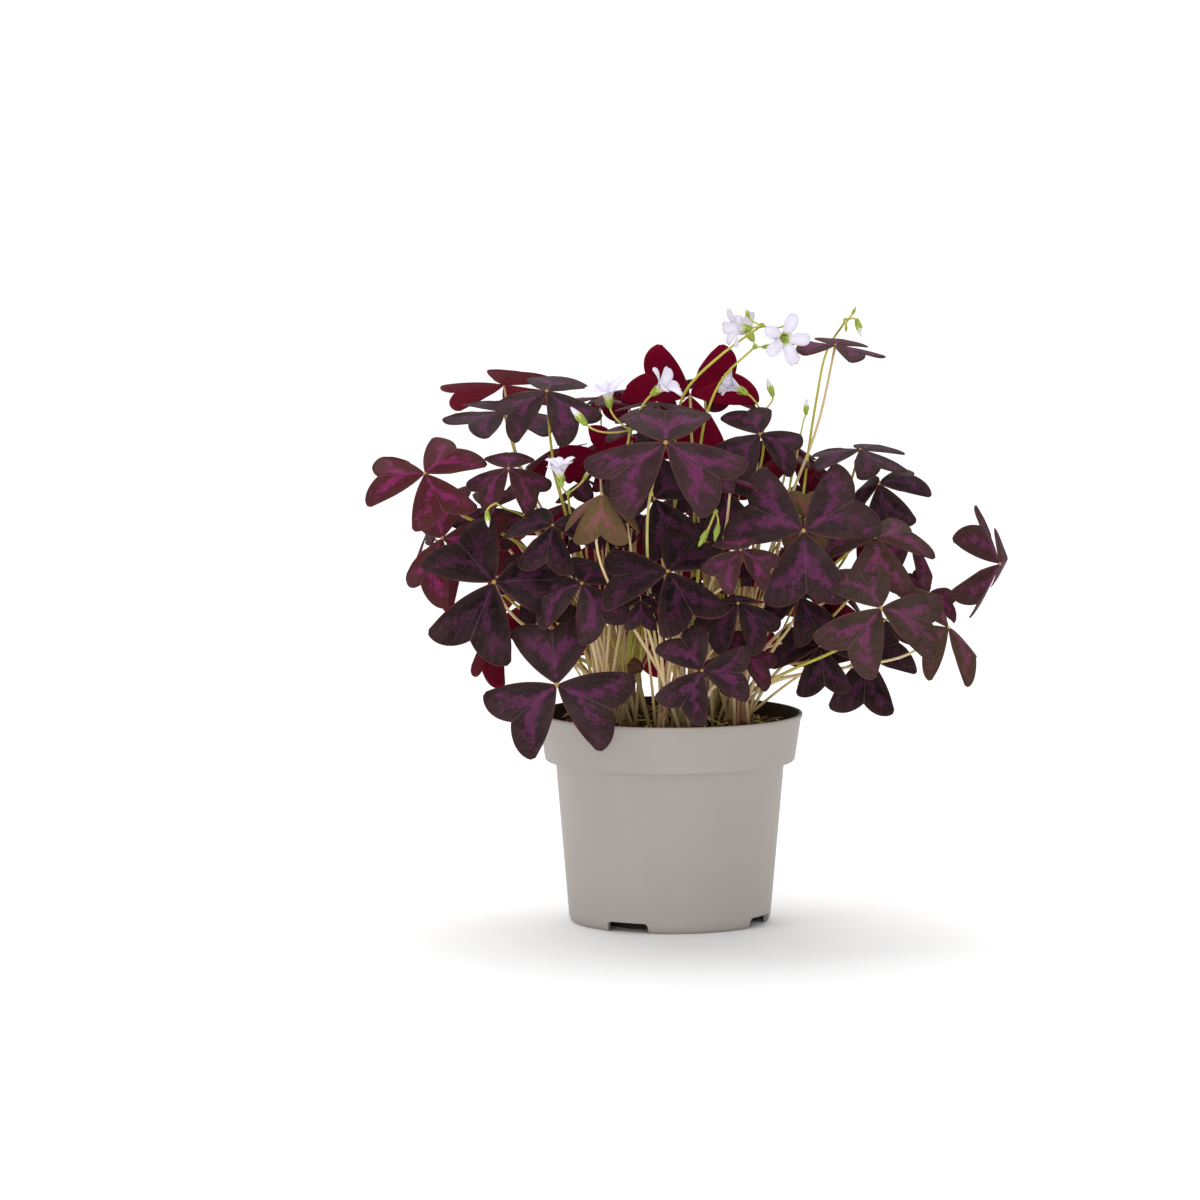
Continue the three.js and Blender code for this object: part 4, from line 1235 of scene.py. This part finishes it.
# %% [markdown]
# ## The pot
#
# The pot is injection-moulded: a thin tapered wall, a deep collar that stiffens the rim, a rounded lip,
# and a foot ring with low arches that let water out. Its profile is drawn once and spun round the axis.
# Arches and drain holes are cut with booleans.

# %% The pot's profile, spun
POT = {
    "height": 95, "rim": 60, "collar": 21.5, "collar_foot": 56.6, "shoulder": 51.8, "heel": 45.8,
    "heel_height": 3.4, "foot": 44.2, "wall": 1.4, "floor": 1.5, "dish": 33, "channel": 6.8,
}


def pot_profile():
    """The outline of the pot's wall, from the axis below the floor, up outside, over the rim and down."""
    top, rim, wall, dish, foot, heel = (POT[key] for key in ("height", "rim", "wall", "dish", "foot", "heel"))
    shoulder, skirt, channel, floor = (POT[key] for key in ("shoulder", "collar_foot", "channel", "floor"))
    collar = top - POT["collar"]
    under = channel - floor
    outside = [
        (0, 0), (dish, 0), (dish + 1.4, under), (foot - wall, under), (foot - wall, 0.15),
        (foot - wall + 0.25, 0), (foot - 0.3, 0), (foot, 0.2), (heel - 0.75, 1.0), (heel - 0.3, 1.9),
        (heel, POT["heel_height"]), (shoulder - 0.05, collar - 0.5), (shoulder + 0.2, collar - 0.12),
        (shoulder + 0.6, collar), (skirt - 0.9, collar), (skirt - 0.4, collar + 0.12),
        (skirt - 0.1, collar + 0.45), (skirt + 0.02, collar + 0.9), (rim - 0.75, top - 2.6),
        (rim - 0.6, top - 2.2), (rim - 0.15, top - 1.9), (rim, top - 1.45), (rim, top - 0.6),
        (rim - 0.2, top - 0.15), (rim - 0.6, top), (rim - 1.3, top), (rim - 1.75, top - 0.2),
        (rim - 2.0, top - 0.8),
    ]
    inside = [
        (skirt - wall, collar + wall), (shoulder - wall, collar + wall), (heel - wall, channel),
        (dish + 2.2, channel), (dish + 0.4, floor), (0, floor),
    ]
    return outside + inside


def spun(name, profile, steps):
    """A closed body turned from a profile of (radius, height) in millimetres."""
    mesh = bpy.data.meshes.new(name)
    corners = [(radius * MM, 0, height * MM) for radius, height in profile]
    mesh.from_pydata(corners, [(i, i + 1) for i in range(len(corners) - 1)], [])
    piece = linked(name, mesh)
    only(piece)
    bpy.ops.object.mode_set(mode="EDIT")
    bpy.ops.mesh.select_all(action="SELECT")
    bpy.ops.mesh.spin(steps=steps, angle=2 * math.pi, center=(0, 0, 0), axis=(0, 0, 1))
    bpy.ops.mesh.select_all(action="SELECT")
    bpy.ops.mesh.remove_doubles(threshold=1e-6)
    bpy.ops.mesh.normals_make_consistent(inside=False)
    bpy.ops.object.mode_set(mode="OBJECT")
    return piece


pot = spun("pot_shell", pot_profile(), 120)
print("pot faces before cutting:", len(pot.data.polygons))

# %% Arches in the foot and drain holes
NOTCH = {"count": 4, "first": -115, "ring": 43, "depth": 10, "width": 20, "height": 4.7, "round": 1.9}
DRAIN = {"count": 8, "radius": 2.4, "ring": 39.4, "depth": 4}
cutters = []
for number in range(NOTCH["count"]):
    angle = NOTCH["first"] + 360 / NOTCH["count"] * number
    spot = compass(angle) * NOTCH["ring"] * MM
    bpy.ops.mesh.primitive_cube_add(size=1, location=spot, rotation=(0, 0, math.radians(angle)))
    arch = bpy.context.object
    arch.scale = (NOTCH["depth"] * MM, NOTCH["width"] * MM, NOTCH["height"] * 2 * MM)
    bpy.ops.object.transform_apply(location=False, rotation=False, scale=True)
    cutters.append(applied(arch, "BEVEL", width=NOTCH["round"] * MM, segments=4))
for number in range(DRAIN["count"]):
    spot = compass(360 / DRAIN["count"] * (number + 0.5)) * DRAIN["ring"] * MM
    spot.z = POT["channel"] * MM
    size = {"radius": DRAIN["radius"] * MM, "depth": DRAIN["depth"] * MM}
    bpy.ops.mesh.primitive_cylinder_add(vertices=24, location=spot, **size)
    cutters.append(bpy.context.object)
for cutter in cutters:
    applied(pot, "BOOLEAN", operation="DIFFERENCE", solver="EXACT", object=cutter)
    bpy.data.objects.remove(cutter)
bpy.ops.object.shade_smooth_by_angle(angle=math.radians(32))
print("pot faces after cutting:", len(pot.data.polygons))

# %% Plastic, darker at its foot, painted shade under the floor, soil stain and painted shade inside
COLLAR_SLOPE = (POT["rim"] - 0.75 - POT["collar_foot"]) / (POT["collar"] - 2.6)
MIDDLE_OF_WALL = POT["collar_foot"] - POT["wall"] / 2 - COLLAR_SLOPE * (POT["height"] - POT["collar"])


def plastic_finish(recipe):
    where = recipe.coordinates()
    x, y, height = recipe.split(where)
    radius = recipe.math("SQRT", x * x + y * y)
    middle = height * COLLAR_SLOPE + MIDDLE_OF_WALL * MM
    # The inner wall above the soil: a brown soil stain together with painted shade.
    inner = (1.0 - recipe.ramp(radius - middle, -0.0003, 0.0001)) * recipe.ramp(height, 0.075, 0.078)
    # Under the floor, inside the foot ring: painted shade, dark grey-brown, seen through the arches.
    under = (1.0 - recipe.ramp(radius, 0.0431, 0.0436)) * (1.0 - recipe.ramp(height, 0.0054, 0.0058))
    stain_and_shade = recipe.math("MULTIPLY_ADD", recipe.noise(where, 160.0, 4), 0.16, 0.88, clamp=True)
    skin = recipe.blend(recipe.mottled(18.0, 1.2), (165, 157, 151), (172, 164, 158))
    # Darker towards the foot.
    skin = recipe.tint(skin, 1.0 - recipe.ramp(height, 0.0, 0.006), 0.18, (120, 108, 98))
    # Painted shade in dark grey-brown under the floor, then the blotched soil stain and painted shade on the
    # inner wall.
    skin = recipe.blend(inner * stain_and_shade, recipe.blend(under, skin, (50, 42, 36)), (48, 26, 13))
    waves = recipe.noise(recipe.stretched(where, (1, 1, 0.35)), 42.0, 3)
    grain = recipe.noise(where, 2600.0, 2)
    return recipe.surface(skin, waves * 0.1 + 0.46, inner * -0.36 + 0.4, grain, 0.12, 0.00012)


pot.data.materials.clear()
pot.data.materials.append(material("grey_plastic", plastic_finish))
settle(pot, "pot", "pot")


# %% [markdown]
# ## The soil
#
# Potting soil is peat: dark brown crumbs of many sizes, short fibres, chips of bark and a little moss.
# A spun body with a rough top fills the pot, and the crumbs are a few shapes copied over it at random.

# %% Soil bed
def soil_finish(recipe):
    barkiness, mossiness, _ = recipe.tone()
    fine = recipe.noise(recipe.coordinates(), 1200.0, 6, 0.75)
    patches = recipe.mottled(110.0, 2.6)
    peat = recipe.blend(patches, (30, 19, 13), (66, 44, 30))
    bark = recipe.blend(patches, (96, 52, 32), (150, 92, 58))
    moss = recipe.blend(patches, (58, 66, 24), (108, 116, 44))
    skin = recipe.blend(mossiness, recipe.blend(barkiness, peat, bark), moss)
    return recipe.surface(recipe.tint(skin, fine, 0.3, (22, 14, 10)), 0.92, 0.2, fine, 0.8, 0.0006)


def soil_rim(height):
    """The inner radius of the pot at a height near its rim, less a little room."""
    collar = POT["height"] - POT["collar"]
    share = (height - collar) / (POT["height"] - collar)
    return POT["collar_foot"] + (POT["rim"] - 0.6 - POT["collar_foot"]) * share - POT["wall"] - 0.35


def bed_profile():
    """The soil fills the pot with a little room all round, up to its mound."""
    room = 0.3
    inset = POT["wall"] + room
    ledge = POT["height"] - POT["collar"] + inset
    edge = soil_rim(SOIL["edge"])
    return [
        (0, POT["floor"] + room), (POT["dish"] + 0.1, POT["floor"] + room),
        (POT["dish"] + 1.9, POT["channel"] + room), (POT["heel"] - inset, POT["channel"] + room),
        (POT["shoulder"] - inset, ledge), (POT["collar_foot"] - inset, ledge), (edge, SOIL["edge"] - 0.6),
        *[(radius, soil_height(radius, 0)) for radius in np.linspace(edge - 1, 0, 26)],
    ]


PEAT = material("potting_soil", soil_finish)
bed = spun("soil_bed", bed_profile(), 96)
draw = random.Random(5)
waves = [(draw.uniform(0.1, 0.9), draw.uniform(0, 6.3), draw.uniform(0, 6.3)) for _ in range(14)]
for vertex in bed.data.vertices:
    x, y, z = vertex.co / MM
    if z > SOIL["edge"] - 0.3 and math.hypot(x, y) < soil_rim(SOIL["edge"]) - 0.4:
        ways = [(pace * (x * math.cos(way) + y * math.sin(way)), phase) for pace, way, phase in waves]
        rough = sum(math.sin(along + phase) for along, phase in ways)
        vertex.co.z += (0.16 * rough + draw.uniform(-0.35, 0.35)) * MM
toned(bed, [(0, 0.15, 0)] * len(bed.data.vertices))
bpy.ops.object.shade_smooth()
bed.data.materials.append(PEAT)
settle(bed, "soil", "soil")

# %% Crumbs, bark chips and moss
LITTER = {"crumbs": 900, "chips": 70, "moss": 260, "wall": 1.2}
MOSS_SPOTS = [(-38, -30), (-12, -46), (26, -42), (40, 20), (-30, 36), (8, 44)]


def crumb_shape(seed):
    shake = random.Random(seed)
    bpy.ops.mesh.primitive_ico_sphere_add(subdivisions=1, radius=1)
    return taken(moulded(bpy.context.object, lambda *place: Vector(place) * shake.uniform(0.7, 1.25)))


def chip_shape(seed):
    shake = random.Random(seed)
    bpy.ops.mesh.primitive_cube_add(size=1)
    chip = bpy.context.object
    moulded(chip, lambda x, y, z: Vector((x * 3.4, y * 1.3, z * 0.8)) * shake.uniform(0.75, 1.2))
    return taken(applied(chip, "BEVEL", width=0.18, segments=1))


def scattered(draw, size):
    """A place on the soil for a lump of a size, away from the pot's wall."""
    radius = (soil_rim(SOIL["edge"]) - size - LITTER["wall"]) * math.sqrt(draw.random())
    spot = compass(draw.uniform(0, 360)) * radius
    return on_soil(spot.x, spot.y, 0)


def tumbled(draw, spot, sizes):
    turn = Matrix.Rotation(draw.uniform(0, 6.3), 4, "Z") @ Matrix.Rotation(draw.uniform(-0.7, 0.7), 4, "X")
    return Matrix.Translation(spot) @ turn @ Matrix.Diagonal((*sizes, 1))


CRUMBS = [crumb_shape(seed) for seed in range(6)]
CHIPS = [chip_shape(seed) for seed in range(5)]
heap = Heap()
draw = random.Random(21)
for _ in range(LITTER["crumbs"]):
    size = 0.5 + 1.5 * draw.random() ** 2.4
    spot = scattered(draw, size)
    sizes = (size * draw.uniform(0.8, 1.3), size, size * draw.uniform(0.6, 0.9))
    shape = draw.choice(CRUMBS)
    heap.copy(shape, tumbled(draw, spot, sizes), tone=(draw.choice([0, 0, 0.15, 0.4]), 0, 0))
for _ in range(LITTER["chips"]):
    size = draw.uniform(0.6, 1.5)
    spot = scattered(draw, 3 * size) + Vector((0, 0, 0.5))
    shape = draw.choice(CHIPS)
    heap.copy(shape, tumbled(draw, spot, (size, size, size)), tone=(draw.uniform(0.5, 1), 0, 0))
for _ in range(LITTER["moss"]):
    patch = draw.choice(MOSS_SPOTS)
    spot = on_soil(patch[0] + draw.gauss(0, 4.5), patch[1] + draw.gauss(0, 3.5), 0.3)
    if math.hypot(spot.x, spot.y) > soil_rim(SOIL["edge"]) - 2.5:
        continue
    size = draw.uniform(0.35, 0.8)
    shape = draw.choice(CRUMBS)
    heap.copy(shape, tumbled(draw, spot, (size, size, size * 1.3)), tone=(0, draw.uniform(0.6, 1), 0))
settle(heap.piece("soil_crumbs", [PEAT], smooth=False), "soil", "soil")

# %% End
bpy.ops.object.select_all(action="DESELECT")
